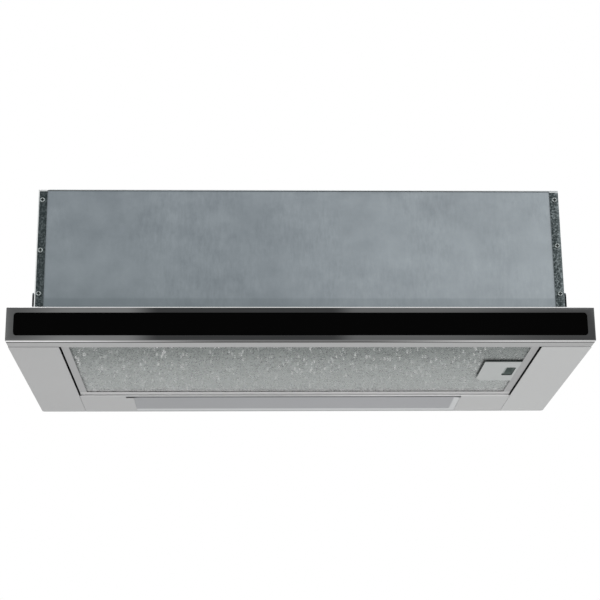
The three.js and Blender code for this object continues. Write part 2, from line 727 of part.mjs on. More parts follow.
const lampHalf = PANEL_INNER_X - GAP;
const slitX = [-PANEL_INNER_X + SLIT_FROM_SIDE[0], PANEL_INNER_X - SLIT_FROM_SIDE[1]];
const slitY = [LAMP_PANEL_Y + SLIT_Y[0], LAMP_PANEL_Y + SLIT_Y[1]];
const lensX = [-PANEL_INNER_X + LENS_FROM_SIDE[0], PANEL_INNER_X - LENS_FROM_SIDE[1]];
const lensRear = DEPTH - LENS_REAR_MARGIN;

function lampPanel() {
  const profile = folded([
    [LAMP_PANEL_Y, RAIL_Z[1]], [LAMP_PANEL_Y, 0], [DEPTH, 0], [DEPTH, CASING_Z],
  ]);
  const slit = block(slitX, slitY, grown([0, SHEET], THROUGH));
  const window = alongZ(
    roundedRect(grown(lensX, GAP), [slitY[1], lensRear + GAP], 1), grown([0, SHEET], THROUGH),
    { curveSegments: 1 },
  );
  return cut(alongX(profile, across(lampHalf)), slit, window);
}

// A frosted moulding with upright walls all round. Its underside dips to the rear bevel.
function lampLens() {
  const w = LENS_WALL;
  const front = [slitY[1], SHEET];
  const dip = [lensRear - LENS_BEVEL, GAP];
  const rear = [lensRear, GAP + LENS_BEVEL_RISE];
  const outside = polygon([front, dip, rear, [lensRear, LENS_DEPTH], [slitY[1], LENS_DEPTH]]);
  const inside = polygon([
    [front[0] + w, front[1] + w], [dip[0], dip[1] + w], [rear[0] - w, rear[1] + w],
    [rear[0] - w, LENS_DEPTH + THROUGH], [front[0] + w, LENS_DEPTH + THROUGH],
  ]);
  return cut(alongX(outside, lensX), alongX(inside, grown(lensX, -w)));
}

// Folded housing over the lens, with its front sloping up from the slit.
function lampTrough() {
  const outline = (inset, low) => {
    const front = LAMP_PANEL_Y + SHEET + GAP + inset;
    const rear = DEPTH - SHEET - GAP - inset;
    const top = TROUGH_TOP - inset;
    return polygon([
      [front, low], [rear, low], [rear, top], [LAMP_PANEL_Y + TROUGH_SLOPE[1], top],
      [front, TROUGH_SLOPE[0]],
    ]);
  };
  const low = SHEET + GAP;
  const ends = grown(slitX, TROUGH_END);
  return cut(
    alongX(outline(0, low), ends), alongX(outline(SHEET, low - THROUGH), grown(ends, -SHEET)),
  );
}

function ledStrip() {
  const [width, thick] = LIGHT_BOARD;
  const [chip, chipHigh] = LIGHT_CHIP;
  const x = grown(lensX, -LENS_WALL - width / 3);
  const midY = (slitY[1] + lensRear) / 2;
  const top = TROUGH_TOP - SHEET - GAP;
  const pitch = (x[1] - x[0]) / LIGHT_COUNT;
  const chips = Array.from({ length: LIGHT_COUNT }, (unused, i) => block(
    about(x[0] + pitch * (i + 0.5), chip / 2), about(midY, chip / 2),
    [top - thick - chipHigh, top - thick / 2],
  ));
  return join(block(x, about(midY, width / 2), [top - thick, top]), ...chips);
}

add('lamp_panel', lampPanel(), stainless);
add('lamp_lens', lampLens(), diffuser);
add('lamp_trough', lampTrough(), galvanised);
add('led_strip', ledStrip(), circuitBoard);

// ---- box: side walls with front flanges, front and rear sheets, top cover, screws ------------

const boxLow = casingTop + GAP;
const wallTop = BOX_TOP - SHEET - GAP;
const sheetFront = BOX_Y[0] + SHEET + GAP;
const sheetRear = BOX_Y[1] - SHEET - GAP;
const sheetHalf = BOX_X - SHEET - RUN;
const screwX = BOX_X - SCREW_INSET;
const bushingX = -BOX_X + TERMINAL_FROM_SIDE + TERMINAL_SIZE[0] / 2;

function screwHoles(heights) {
  const [from, to] = grown([BOX_Y[0], sheetFront + SHEET], THROUGH);
  return heights.map((z) => rod(SCREW_SHANK_R + GAP, to - from, AXIS.y, [screwX, from, z], 12));
}

function boxWall(screwZ) {
  const profile = folded([
    [BOX_X - FLANGE, BOX_Y[0]], [BOX_X, BOX_Y[0]], [BOX_X, BOX_Y[1]], [BOX_X - FLANGE, BOX_Y[1]],
  ]);
  return cut(alongZ(profile, [boxLow, wallTop]), ...screwHoles(screwZ));
}

function frontSheet() {
  const sheet = block(across(sheetHalf), [sheetFront, sheetFront + SHEET], [boxLow, wallTop]);
  return cut(sheet, ...screwHoles(SCREW_Z_LEFT).map(mirrored), ...screwHoles(SCREW_Z_RIGHT));
}

function rearSheet() {
  const sheet = block(across(sheetHalf), [sheetRear - SHEET, sheetRear], [boxLow, wallTop]);
  const [from, to] = grown([sheetRear - SHEET, sheetRear], THROUGH);
  return cut(sheet, rod(BUSHING_R + GAP, to - from, AXIS.y, [bushingX, from, BUSHING_Z], 20));
}

function topCover() {
  const plate = block(across(BOX_X), BOX_Y, [BOX_TOP - SHEET, BOX_TOP]);
  const lipX = across(sheetHalf - COVER_LIP_INSET);
  const lipZ = [BOX_TOP - COVER_LIP, BOX_TOP - SHEET / 2];
  const inner = [sheetFront + SHEET + GAP, sheetRear - SHEET - GAP];
  const frontLip = block(lipX, [inner[0], inner[0] + SHEET], lipZ);
  const rearLip = block(lipX, [inner[1] - SHEET, inner[1]], lipZ);
  const [from, to] = grown([BOX_TOP - SHEET, BOX_TOP], THROUGH);
  const outlet = rod(COLLAR_R - OUTLET_LAP, to - from, AXIS.z, [0, COLLAR_Y, from], 40);
  return cut(join(plate, frontLip, rearLip), outlet);
}

// Pan head with a cross recess, and a shank with a point behind the sheets.
function boxScrew(x, z) {
  const face = BOX_Y[0] - GAP;
  const r = SCREW_HEAD_R;
  const body = turned([
    [0, 0], [0.65 * r, 0.1], [0.92 * r, 0.4 * SCREW_HEAD], [r, SCREW_HEAD],
    [SCREW_SHANK_R, SCREW_HEAD], [SCREW_SHANK_R, SCREW_LENGTH], [0, SCREW_LENGTH + SCREW_SHANK_R],
  ], AXIS.y, [x, face - SCREW_HEAD, z], 12);
  const recess = [[0.5, 0.11], [0.11, 0.5]].map(([w, h]) => block(
    about(x, w * r), [face - SCREW_HEAD - THROUGH, face - SCREW_HEAD / 2], about(z, h * r),
  ));
  return cut(body, ...recess);
}

add('box_wall_left', mirrored(boxWall(SCREW_Z_LEFT)), galvanised);
add('box_wall_right', boxWall(SCREW_Z_RIGHT), galvanised);
add('front_sheet', frontSheet(), galvanised);
add('rear_sheet', rearSheet(), galvanised);
add('top_cover', topCover(), galvanised);
SCREW_Z_LEFT.forEach((z, i) => add(`box_screw_left_${i + 1}`, boxScrew(-screwX, z), zincPlated));
SCREW_Z_RIGHT.forEach((z, i) => add(`box_screw_right_${i + 1}`, boxScrew(screwX, z), zincPlated));

// ---- fixed inner filter over the throat -------------------------------------------------------

const rim = INNER_FILTER_RIM;
const innerFilter = [
  across(throatX + INNER_FILTER_LAP), grown(throatY, INNER_FILTER_LAP),
  [boxLow, boxLow + INNER_FILTER_THICK],
];
add('inner_filter_frame', channelFrame(...innerFilter, { side: rim, front: rim, rear: rim }), aluminium);
add('inner_filter_mesh', packIn(...innerFilter), aluminiumMesh);

// ---- blower: two scroll halves, wheel, shaft, nut, motor and its bracket -----------------------

const neckTop = wallTop - GAP;
const neckRear = COLLAR_Y + COLLAR_R - NECK_INSET;
const onAxis = (x) => [x, AXIS_Y, AXIS_Z];

// The scroll winds from the tongue over the front and under the wheel, then rises to the outlet.
function scrollOutline(wall) {
  const steps = 26;
  const spiral = Array.from({ length: steps + 1 }, (unused, i) => {
    const degrees = SCROLL_SWEEP * i / steps;
    const a = THREE.MathUtils.degToRad(degrees);
    const r = SCROLL_R + SCROLL_GROWTH * degrees + wall;
    return [AXIS_Y - r * Math.sin(a), AXIS_Z + r * Math.cos(a)];
  });
  return polygon([
    ...spiral, [neckRear + wall, neckTop - NECK_RISE], [neckRear + wall, neckTop],
    [AXIS_Y - wall, neckTop],
  ]);
}

function scroll() {
  const inner = SCROLL_HALF - SCROLL_WALL;
  const outside = alongX(scrollOutline(SCROLL_WALL), across(SCROLL_HALF));
  const inside = alongX(scrollOutline(0), across(inner));
  const mouth = block(across(inner), [AXIS_Y, neckRear], grown([neckTop, neckTop], THROUGH));
  const inlet = rod(INLET_R, 4 * SCROLL_HALF, AXIS.x, onAxis(-2 * SCROLL_HALF), 32);
  const [wide, high] = BELL;
  const bell = (side) => turned([
    [INLET_R, -high + 0.6], [INLET_R + 1.5, -high], [INLET_R + wide, -1], [INLET_R + wide, 0.5],
    [INLET_R, 0.5],
  ], side > 0 ? AXIS.x.clone().negate() : AXIS.x, onAxis(side * (SCROLL_HALF - 0.2)), 32);
  return join(cut(outside, inside, mouth, inlet), bell(1), bell(-1));
}

const wholeScroll = scroll();
const rightSpace = block([GAP / 2, BOX_X], BOX_Y, [0, BOX_TOP]);
add('blower_half_left', wholeScroll.intersect(mirrored(rightSpace)), blackPlastic);
add('blower_half_right', wholeScroll.intersect(rightSpace), blackPlastic);

// A double-inlet drum: disc and hub in the middle, forward-curved blades, a ring at each end.
function fanWheel() {
  const [ringWide, ringThick] = WHEEL_RING;
  const bore = SHAFT_R + GAP;
  const disc = turned([
    [bore, -HUB_HALF], [HUB_R, -HUB_HALF], [HUB_R + 1, -1], [WHEEL_R - 3, -1],
    [WHEEL_R - 3, 1], [HUB_R + 1, 1], [HUB_R, HUB_HALF], [bore, HUB_HALF],
  ], AXIS.x, [0, 0, 0], BLADES);
  const rings = [-WHEEL_HALF, WHEEL_HALF - ringThick].map((x) => turned([
    [WHEEL_R - ringWide, 0], [WHEEL_R, 0], [WHEEL_R, ringThick], [WHEEL_R - ringWide, ringThick],
  ], AXIS.x, [x, 0, 0], BLADES));
  const bladeLine = (offset) => [0, 1, 2].map((i) => {
    const r = WHEEL_R - BLADE_DEPTH + (BLADE_DEPTH - 0.4) * i / 2;
    const lead = 0.04 * i * i + offset;
    return [r * Math.cos(lead), r * Math.sin(lead)];
  });
  const outline = polygon([...bladeLine(0), ...bladeLine(0.022).reverse()]);
  const blade = alongX(outline, across(WHEEL_HALF - 1));
  const blades = Array.from({ length: BLADES }, (unused, i) => blade.rotate([360 * i / BLADES, 0, 0]));
  return join(disc, ...rings, ...blades).translate(onAxis(0));
}

function motor() {
  const [back, front] = MOTOR_X;
  const length = front - back;
  const nose = length - MOTOR_NOSE;
  const bore = SHAFT_R + GAP;
  const [face, foot] = MOTOR_BOSS_R;
  const [boss, flat, rim, stack] = MOTOR_BACK;
  const shield = MOTOR_R - MOTOR_STEP;
  const stackEnd = nose - MOTOR_STACK_END;
  const body = turned([
    [bore, 0], [face, 0], [foot, boss], [MOTOR_R - MOTOR_SHIELD, flat], [shield, rim], [shield, stack],
    [MOTOR_R, stack], [MOTOR_R, stackEnd], [shield, stackEnd],
    [shield, nose], [foot, nose], [face, length], [bore, length],
  ], AXIS.x, onAxis(back), 24);
  const slot = block(
    [nose - VENT_DEPTH, nose + THROUGH], VENT_REACH.map((share) => share * MOTOR_R), across(VENT_HALF),
  );
  const vents = Array.from({ length: MOTOR_VENTS }, (unused, i) => slot
    .rotate([360 * i / MOTOR_VENTS, 0, 0]).translate(onAxis(back)));
  return cut(body, ...vents);
}

// A ring on the motor's face with three arms that stand on the scroll's side wall.
function motorBracket() {
  const x = MOTOR_X[1] - MOTOR_NOSE + GAP;
  const plate = turned([
    [0.8 * MOTOR_R, 0], [MOTOR_R + 1, 0], [MOTOR_R + 1, BRACKET_SHEET], [0.8 * MOTOR_R, BRACKET_SHEET],
  ], AXIS.x, onAxis(x), 28);
  const reach = SCROLL_R - 0.5;
  const arm = join(
    block([x, x + BRACKET_SHEET], across(BRACKET_ARM / 2), [MOTOR_R - 2, reach]),
    block([x, -SCROLL_HALF - GAP], across(BRACKET_ARM / 2), [reach - 3, reach]),
  );
  const arms = [30, 150, 270].map((angle) => arm.rotate([angle, 0, 0]).translate(onAxis(0)));
  return join(plate, ...arms);
}

const nutX = [HUB_HALF + GAP, HUB_HALF + GAP + NUT_THICK];
const shaftX = [MOTOR_X[0] - SHAFT_END, nutX[1] + SHAFT_END];

add('fan_wheel', fanWheel(), blackPlastic);
add('motor_shaft', rod(SHAFT_R, shaftX[1] - shaftX[0], AXIS.x, onAxis(shaftX[0])), zincPlated);
add('wheel_nut', cut(
  alongX(polygon(ring(6, NUT_R, AXIS_Y, AXIS_Z)), nutX),
  rod(SHAFT_R + GAP, 2 * nutX[1], AXIS.x, onAxis(0)),
), zincPlated);
add('motor', motor(), zincPlated);
add('motor_bracket', motorBracket(), zincPlated);

// ---- outlet collar with a pair of flaps on one axle --------------------------------------------

const collarLow = BOX_TOP + GAP;
const collarTop = collarLow + COLLAR_HEIGHT;
const collarBore = COLLAR_R - COLLAR_WALL;
const flapZ = [FLAP_AXIS_Z - KNUCKLE_R, FLAP_AXIS_Z - KNUCKLE_R + FLAP_THICK];
const axleHole = rod(AXLE_R + GAP, 3 * COLLAR_R, AXIS.x, [-1.5 * COLLAR_R, COLLAR_Y, FLAP_AXIS_Z], 12);

function outletCollar() {
  const [ledge, thick] = COLLAR_LEDGE;
  const flangeR = COLLAR_R + COLLAR_FLANGE;
  const seat = flapZ[0] - GAP;
  const body = turned([
    [collarBore, collarLow], [flangeR, collarLow], [flangeR, collarLow + COLLAR_WALL],
    [COLLAR_R, collarLow + COLLAR_WALL], [COLLAR_R, collarTop], [collarBore, collarTop],
    [collarBore, seat], [collarBore - ledge, seat], [collarBore - ledge, seat - thick],
    [collarBore, seat - 2 * thick],
  ], AXIS.z, [0, COLLAR_Y, 0], 40);
  return cut(body, axleHole);
}

// One half disc with two knuckles on the axle. The other flap's knuckles fill the spaces between.
function flap(side) {
  const disc = rod(collarBore - RUN, FLAP_THICK, AXIS.z, [0, COLLAR_Y, flapZ[0]], 40);
  const edge = KNUCKLE_R + GAP;
  const keep = block(across(2 * COLLAR_R), [COLLAR_Y + edge, COLLAR_Y + 2 * COLLAR_R], [0, 2 * BOX_TOP]);
  const knuckles = [-2, 0].map((place) => {
    const from = KNUCKLE_LENGTH * (place + (side > 0 ? 0 : 1)) + GAP / 2;
    const length = KNUCKLE_LENGTH - GAP;
    return join(
      rod(KNUCKLE_R, length, AXIS.x, [from, COLLAR_Y, FLAP_AXIS_Z], 12),
      block([from, from + length], [COLLAR_Y, COLLAR_Y + edge + THROUGH], flapZ),
    );
  });
  const rear = cut(join(disc.intersect(keep), ...knuckles), axleHole);
  if (side > 0) return rear;
  return rear.translate([0, -COLLAR_Y, 0]).mirror([0, 1, 0]).translate([0, COLLAR_Y, 0]);
}

add('outlet_collar', outletCollar(), blackPlastic);
add('flap_axle', rod(AXLE_R, 2 * COLLAR_R, AXIS.x, [-COLLAR_R, COLLAR_Y, FLAP_AXIS_Z], 12), zincPlated);
add('flap_rear', flap(1), blackPlastic);
add('flap_front', flap(-1), blackPlastic);

// ---- electrics in the box -----------------------------------------------------------------------

const terminalX = about(bushingX, TERMINAL_SIZE[0] / 2);
const terminalY = [sheetRear - SHEET - GAP - TERMINAL_SIZE[1], sheetRear - SHEET - GAP];
const terminalZ = [TERMINAL_Z, TERMINAL_Z + TERMINAL_SIZE[2]];

function terminalBox() {
  const wall = TERMINAL_WALL;
  const hollow = block(
    grown(terminalX, -wall), [terminalY[0] - THROUGH, terminalY[1] - wall], grown(terminalZ, -wall),
  );
  const entry = rod(
    BUSHING_R + GAP, 4 * wall, AXIS.y, [bushingX, terminalY[1] - 2 * wall, BUSHING_Z], 20,
  );
  return cut(block(terminalX, terminalY, terminalZ), hollow, entry);
}

function terminalLid() {
  const face = terminalY[0] - GAP;
  const inset = -TERMINAL_WALL - GAP;
  return join(
    block(terminalX, [face - TERMINAL_LID, face], terminalZ),
    block(grown(terminalX, inset), [face - TERMINAL_LID / 2, face + LID_PLUG], grown(terminalZ, inset)),
  );
}

// Bushing for the mains lead, through the rear sheet into the terminal box.
function cableBushing() {
  const inside = -SHEET - GAP - 2 * TERMINAL_WALL;
  return turned([
    [BUSHING_BORE_R, inside], [BUSHING_R, inside], [BUSHING_R, GAP], [BUSHING_FLANGE_R, GAP],
    [BUSHING_FLANGE_R, BUSHING_HEAD[0]], [BUSHING_R, BUSHING_HEAD[1]], [BUSHING_BORE_R, BUSHING_HEAD[1]],
  ], AXIS.y, [bushingX, sheetRear, BUSHING_Z], 16);
}

function capacitor() {
  const r = CAPACITOR_R;
  return turned([
    [0, 0], [r, 0], [r, CAPACITOR_LENGTH - 2], [r - 2, CAPACITOR_LENGTH], [0, CAPACITOR_LENGTH],
  ], AXIS.x, [terminalX[1] + CAPACITOR_ROOM, terminalY[1] - r, BUSHING_Z], 24);
}

// Stands behind the right rail and hangs from the casing; its lever rests on the closed tray.
function traySwitch() {
  const [width, length, height] = SWITCH_SIZE;
  const x = [PANEL_INNER_X + SWITCH_FROM_PANEL, PANEL_INNER_X + SWITCH_FROM_PANEL + width];
  const y = [TRAY_BACK + SWITCH_LEVER[0] + GAP, TRAY_BACK + SWITCH_LEVER[0] + GAP + length];
  const top = SWITCH_Z + height;
  const body = block(x, y, [SWITCH_Z, top]);
  const foot = block(
    [x[0] - SWITCH_FOOT[0], x[1] + SWITCH_FOOT[1]], [y[0] + SWITCH_LEVER[0], y[1]],
    [top - THROUGH, plateLow - GAP],
  );
  const [inset, rise] = SWITCH_LEVER_INSET;
  const lever = block(
    grown(x, -inset), [TRAY_BACK + GAP, y[0] + THROUGH],
    [SWITCH_Z + rise, SWITCH_Z + rise + SWITCH_LEVER[1]],
  );
  return join(body, foot, lever);
}

add('terminal_box', terminalBox(), blackPlastic);
add('terminal_lid', terminalLid(), blackPlastic);
add('capacitor', capacitor(), whitePlastic);
add('cable_bushing', cableBushing(), blackPlastic);
add('tray_switch', traySwitch(), blackPlastic);

export default hood;
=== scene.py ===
"""Finishes of a pull-out range hood: stainless, galvanised sheet, glass, expanded metal, plastics."""

import json
import math

import bmesh
import bpy
import numpy as np
from mathutils import Matrix, Vector

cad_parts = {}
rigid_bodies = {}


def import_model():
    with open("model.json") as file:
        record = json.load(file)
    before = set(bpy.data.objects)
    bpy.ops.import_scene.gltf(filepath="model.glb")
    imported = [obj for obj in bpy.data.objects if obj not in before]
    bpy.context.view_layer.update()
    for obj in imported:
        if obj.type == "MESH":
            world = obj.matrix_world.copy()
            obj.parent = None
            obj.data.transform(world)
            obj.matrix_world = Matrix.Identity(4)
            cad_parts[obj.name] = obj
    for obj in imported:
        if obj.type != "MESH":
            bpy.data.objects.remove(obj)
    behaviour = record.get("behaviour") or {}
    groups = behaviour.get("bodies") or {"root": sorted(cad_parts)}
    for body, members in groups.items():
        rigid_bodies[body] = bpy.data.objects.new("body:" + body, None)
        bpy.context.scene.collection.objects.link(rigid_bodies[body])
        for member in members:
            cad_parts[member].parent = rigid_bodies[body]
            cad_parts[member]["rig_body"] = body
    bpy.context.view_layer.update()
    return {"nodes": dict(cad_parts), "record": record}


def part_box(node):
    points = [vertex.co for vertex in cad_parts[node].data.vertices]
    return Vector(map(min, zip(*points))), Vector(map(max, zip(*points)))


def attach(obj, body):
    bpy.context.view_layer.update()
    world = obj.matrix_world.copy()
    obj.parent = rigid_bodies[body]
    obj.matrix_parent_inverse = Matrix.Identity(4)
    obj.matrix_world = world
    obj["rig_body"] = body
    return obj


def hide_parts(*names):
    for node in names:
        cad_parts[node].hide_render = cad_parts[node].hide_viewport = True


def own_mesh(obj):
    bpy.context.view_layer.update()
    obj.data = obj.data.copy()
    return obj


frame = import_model()


# ---- camera -------------------------------------------------------------------------------------
# The hood is seen from the front and from below, with a long lens about a metre and a half away,
# a little left of its middle. The frame is square.

MM = 0.001
FRAME_WIDTH, FOCAL_LENGTH = 600, 1560.7        # in pixels
VIEW_PITCH, VIEW_YAW, VIEW_ROLL = np.radians([17.42, 2.01, -0.58])
VIEW_PLACE = np.array([-55.2, -1667.6, -432.0]) * MM

ahead = np.array([
    math.sin(VIEW_YAW) * math.cos(VIEW_PITCH), math.cos(VIEW_YAW) * math.cos(VIEW_PITCH),
    math.sin(VIEW_PITCH),
])
level = np.array([math.cos(VIEW_YAW), -math.sin(VIEW_YAW), 0.0])
upward = np.cross(level, ahead)
to_right = level * math.cos(VIEW_ROLL) + upward * math.sin(VIEW_ROLL)
to_top = upward * math.cos(VIEW_ROLL) - level * math.sin(VIEW_ROLL)

optics = bpy.data.cameras.new("camera")
optics.sensor_fit = "HORIZONTAL"
optics.sensor_width = 36.0
optics.lens = FOCAL_LENGTH / FRAME_WIDTH * optics.sensor_width
optics.clip_end = 50.0
camera = bpy.data.objects.new("camera", optics)
bpy.context.scene.collection.objects.link(camera)
camera.matrix_world = Matrix([
    [to_right[i], to_top[i], -ahead[i], VIEW_PLACE[i]] for i in range(3)
] + [[0, 0, 0, 1]])
bpy.context.scene.camera = camera
bpy.context.scene.view_settings.view_transform = "Standard"


# ---- studio ---------------------------------------------------------------------------------------
# A pale floor at the height of a hob, three large soft lamps, and a white surround that the
# camera, metal and glass see. Finish and Wire write the materials of everything that follows.

class Wire:
    """An output socket of a finish. Arithmetic on it adds Math nodes."""

    def __init__(self, finish, socket):
        self.finish = finish
        self.socket = socket

    def combine(self, operation, first, second=0.0):
        """A Math node of this finish, on values or wires."""
        return self.finish.node("ShaderNodeMath", {"operation": operation}, {0: first, 1: second})

    def __add__(self, other):
        return self.combine("ADD", self, other)

    def __sub__(self, other):
        return self.combine("SUBTRACT", self, other)

    def __rsub__(self, other):
        return self.combine("SUBTRACT", other, self)

    def __mul__(self, other):
        return self.combine("MULTIPLY", self, other)

    def __abs__(self):
        return self.combine("ABSOLUTE", self)

    __radd__ = __add__
    __rmul__ = __mul__

    def larger(self, other):
        return self.combine("MAXIMUM", self, other)

    def above(self, edge, soft):
        """0 below edge - soft, 1 above edge + soft, and a smooth rise between."""
        return self.finish.node(
            "ShaderNodeMapRange", {"interpolation_type": "SMOOTHSTEP"},
            {"Value": self, "From Min": edge - soft, "From Max": edge + soft},
        )

    def below(self, edge, soft):
        """1 below edge - soft, 0 above edge + soft, and a smooth fall between."""
        return 1.0 - self.above(edge, soft)


class Finish:
    """A material being written: node() adds any node, and its shader takes constants and wires."""

    def __init__(self, name, **constants):
        self.material = bpy.data.materials.new(name)
        self.material.use_nodes = True
        self.tree = self.material.node_tree
        self.shader = self.tree.nodes["Principled BSDF"]
        self.set(**constants)

    def node(self, kind, settings=None, inputs=None, output=0):
        """Adds a node with its settings, then with values or wires on its inputs."""
        made = self.tree.nodes.new(kind)
        for name, value in (settings or {}).items():
            setattr(made, name, value)
        for name, value in (inputs or {}).items():
            self.plug(made.inputs[name], value)
        return Wire(self, made.outputs[output])

    def plug(self, socket, value):
        if isinstance(value, Wire):
            self.tree.links.new(value.socket, socket)
        else:
            socket.default_value = value

    def set(self, **inputs):
        """Sets the shader's sockets, with _ for each space in a socket's name."""
        for name, value in inputs.items():
            self.plug(self.shader.inputs[name.replace("_", " ")], value)

    def point(self, stretch=(1.0, 1.0, 1.0)):
        """Object coordinates, in metres, drawn out along an axis by a stretch below 1."""
        where = self.node("ShaderNodeTexCoord", output="Object")
        if stretch == (1.0, 1.0, 1.0):
            return where
        return self.node("ShaderNodeMapping", {}, {"Vector": where, "Scale": stretch})

    def along(self, axis):
        """The object coordinate along X, Y or Z."""
        return self.node("ShaderNodeSeparateXYZ", {}, {"Vector": self.point()}, output=axis)

    def noise(self, scale, detail=2.0, stretch=(1.0, 1.0, 1.0), rough=0.5):
        return self.node("ShaderNodeTexNoise", {}, {
            "Vector": self.point(stretch), "Scale": scale, "Detail": detail, "Roughness": rough,
        })

    def cells(self, scale, output, stretch=(1.0, 1.0, 1.0)):
        """Cells of unlike outline: each point's Distance from the middle of its cell, or the
        cell's own random Color."""
        return self.node("ShaderNodeTexVoronoi", {}, {
            "Vector": self.point(stretch), "Scale": scale,
        }, output=output)

    def lots(self, scale, part="Red", stretch=(1.0, 1.0, 1.0)):
        """A random value from 0 to 1 for each cell."""
        colour = self.cells(scale, "Color", stretch)
        return self.node("ShaderNodeSeparateColor", {}, {"Color": colour}, output=part)

    def mix(self, share, first, second):
        """The first colour where share is 0, the second where it is 1."""
        return self.node(
            "ShaderNodeMix", {"data_type": "RGBA", "clamp_factor": True},
            {0: share, 6: first, 7: second}, output=2,
        )

    def bump(self, height, depth_mm, strength=1.0):
        """Normals of a relief whose height runs from 0 to 1 over that depth."""
        return self.node("ShaderNodeBump", {}, {
            "Height": height, "Distance": depth_mm * MM, "Strength": strength,
        })


def shade(red, green=None, blue=None):
    """A colour given as it shows on a screen, 0 to 255, in the linear values of a shader."""
    screen = np.array([red, green or red, blue or red]) / 255
    linear = np.where(screen <= 0.04045, screen / 12.92, ((screen + 0.055) / 1.055) ** 2.4)
    return (*map(float, linear), 1.0)


def shape(name, points, faces):
    """A mesh object at the origin, from an array of points in millimetres and a list of faces."""
    mesh = bpy.data.meshes.new(name)
    mesh.from_pydata((np.asarray(points, float).reshape(-1, 3) * MM).tolist(), [], faces)
    mesh.validate()
    made = bpy.data.objects.new(name, mesh)
    bpy.context.scene.collection.objects.link(made)
    return made


FLOOR_Z = -750
FLOOR_REACH = 6000
floor = shape("floor", [
    (-FLOOR_REACH, -FLOOR_REACH, FLOOR_Z), (FLOOR_REACH, -FLOOR_REACH, FLOOR_Z),
    (FLOOR_REACH, FLOOR_REACH, FLOOR_Z), (-FLOOR_REACH, FLOOR_REACH, FLOOR_Z),
], [(0, 1, 2, 3)])
floor_paint = Finish("floor_paint", Roughness=0.9)
floor_paint.set(Base_Color=floor_paint.mix(floor_paint.noise(3.0), shade(236), shade(240)))
floor.data.materials.append(floor_paint.material)

surround = bpy.data.worlds.new("surround")
bpy.context.scene.world = surround
surround.use_nodes = True
nodes, links = surround.node_tree.nodes, surround.node_tree.links
nodes.clear()
SURROUND_LIGHT = 0.62              # on diffuse surfaces; what is seen is white
rays = nodes.new("ShaderNodeLightPath")
seen = rays.outputs["Is Camera Ray"]
for ray in ("Is Glossy Ray", "Is Transmission Ray"):
    either = nodes.new("ShaderNodeMath")
    either.operation = "MAXIMUM"
    links.new(seen, either.inputs[0])
    links.new(rays.outputs[ray], either.inputs[1])
    seen = either.outputs[0]
level_of = nodes.new("ShaderNodeMapRange")
level_of.inputs["To Min"].default_value = SURROUND_LIGHT
level_of.inputs["To Max"].default_value = 1.0
links.new(seen, level_of.inputs["Value"])
background = nodes.new("ShaderNodeBackground")
background.inputs["Color"].default_value = (1, 1, 1, 1)
links.new(level_of.outputs[0], background.inputs["Strength"])
links.new(background.outputs[0], nodes.new("ShaderNodeOutputWorld").inputs["Surface"])

LAMPS_AIM = Vector((0, 0, 0.08))
LAMPS = {                          # place, width and power of each softbox
    "key_lamp": ((2.0, -2.0, 1.6), 1.6, 25),
    "fill_lamp": ((-1.8, -2.0, -0.1), 1.6, 12),
    "back_lamp": ((-0.4, 1.8, 1.9), 1.8, 26),
}
for name, (place, width, power) in LAMPS.items():
    lamp = bpy.data.lights.new(name, "AREA")
    lamp.shape = "SQUARE"
    lamp.size = width
    lamp.energy = power
    stand = bpy.data.objects.new(name, lamp)
    bpy.context.scene.collection.objects.link(stand)
    stand.location = place
    stand.rotation_euler = (LAMPS_AIM - Vector(place)).to_track_quat("-Z", "Y").to_euler()


# ---- stainless panels -----------------------------------------------------------------------------
# Side panels, lamp panel and the beam behind the front panel are folded from 0.8 mm stainless
# sheet with a satin grain from left to right. Their folds are slightly rounded and catch light.
# They also carry painted light and shade: on the side panels' lips, the lamp panel's front fold
# and the beam's groove.

SHARP = math.radians(32)           # an edge that turns by more than this is a corner
FLAT = math.radians(0.5)           # faces that meet at less than this become one
slot_of = {row["node"]: row["material_slot"] for row in frame["record"]["subparts"]}


def place_piece(made, finish, body, slot, *nodes):
    """Gives a piece its finish, the body it moves with, and the solids that it stands for."""
    made.data.materials.append(finish.material)
    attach(made, body)
    if nodes:
        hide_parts(*nodes)
    return made


def formed(node, finish, edge_mm=0.2, segments=2):
    """A copy of a solid with merged points, smooth rounds and its sharp edges broken."""
    source = frame["nodes"][node]
    mesh = bpy.data.meshes.new(node + "_formed")
    work = bmesh.new()
    work.from_mesh(source.data)
    bmesh.ops.remove_doubles(work, verts=work.verts, dist=0.002 * MM)
    bmesh.ops.dissolve_limit(work, angle_limit=FLAT, verts=work.verts, edges=work.edges)
    for face in work.faces:
        face.smooth = True
    for edge in work.edges:
        edge.smooth = len(edge.link_faces) == 2 and edge.calc_face_angle() < SHARP
    work.to_mesh(mesh)
    work.free()
    made = bpy.data.objects.new(node + "_formed", mesh)
    bpy.context.scene.collection.objects.link(made)
    rounding = made.modifiers.new("broken edges", "BEVEL")
    rounding.width = edge_mm * MM
    rounding.segments = segments
    rounding.limit_method = "ANGLE"
    rounding.angle_limit = SHARP
    rounding.harden_normals = True
    return place_piece(made, finish, source["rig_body"], slot_of[node], node)


def satin_metal(name, light, rise=0.0):
    """Satin metal: fine lines from left to right and a broad cloudy tone. Rise is how much lighter
    it is painted at the right: painted light, as more light falls on that side."""
    finish = Finish(name, Metallic=0.9)
    lines = finish.noise(1400, 3, (0.02, 1.0, 1.0), 0.7)
    cloud = finish.noise(9, 2)
    finish.tone = finish.mix(
        0.6 * lines + 0.4 * cloud, shade(light - 10), shade(light + 8, light + 9, light + 9),
    )
    if rise:
        # painted light: lighter towards the right
        painted_light_rightwards = finish.along("X").above(0.0, 0.28)
        finish.tone = finish.mix(rise * painted_light_rightwards, finish.tone, shade(238, 240, 239))
    finish.set(
        Base_Color=finish.tone,
        Roughness=0.26 + 0.16 * lines + 0.06 * cloud,
        Normal=finish.bump(lines, 0.02, 0.5),
    )
    return finish


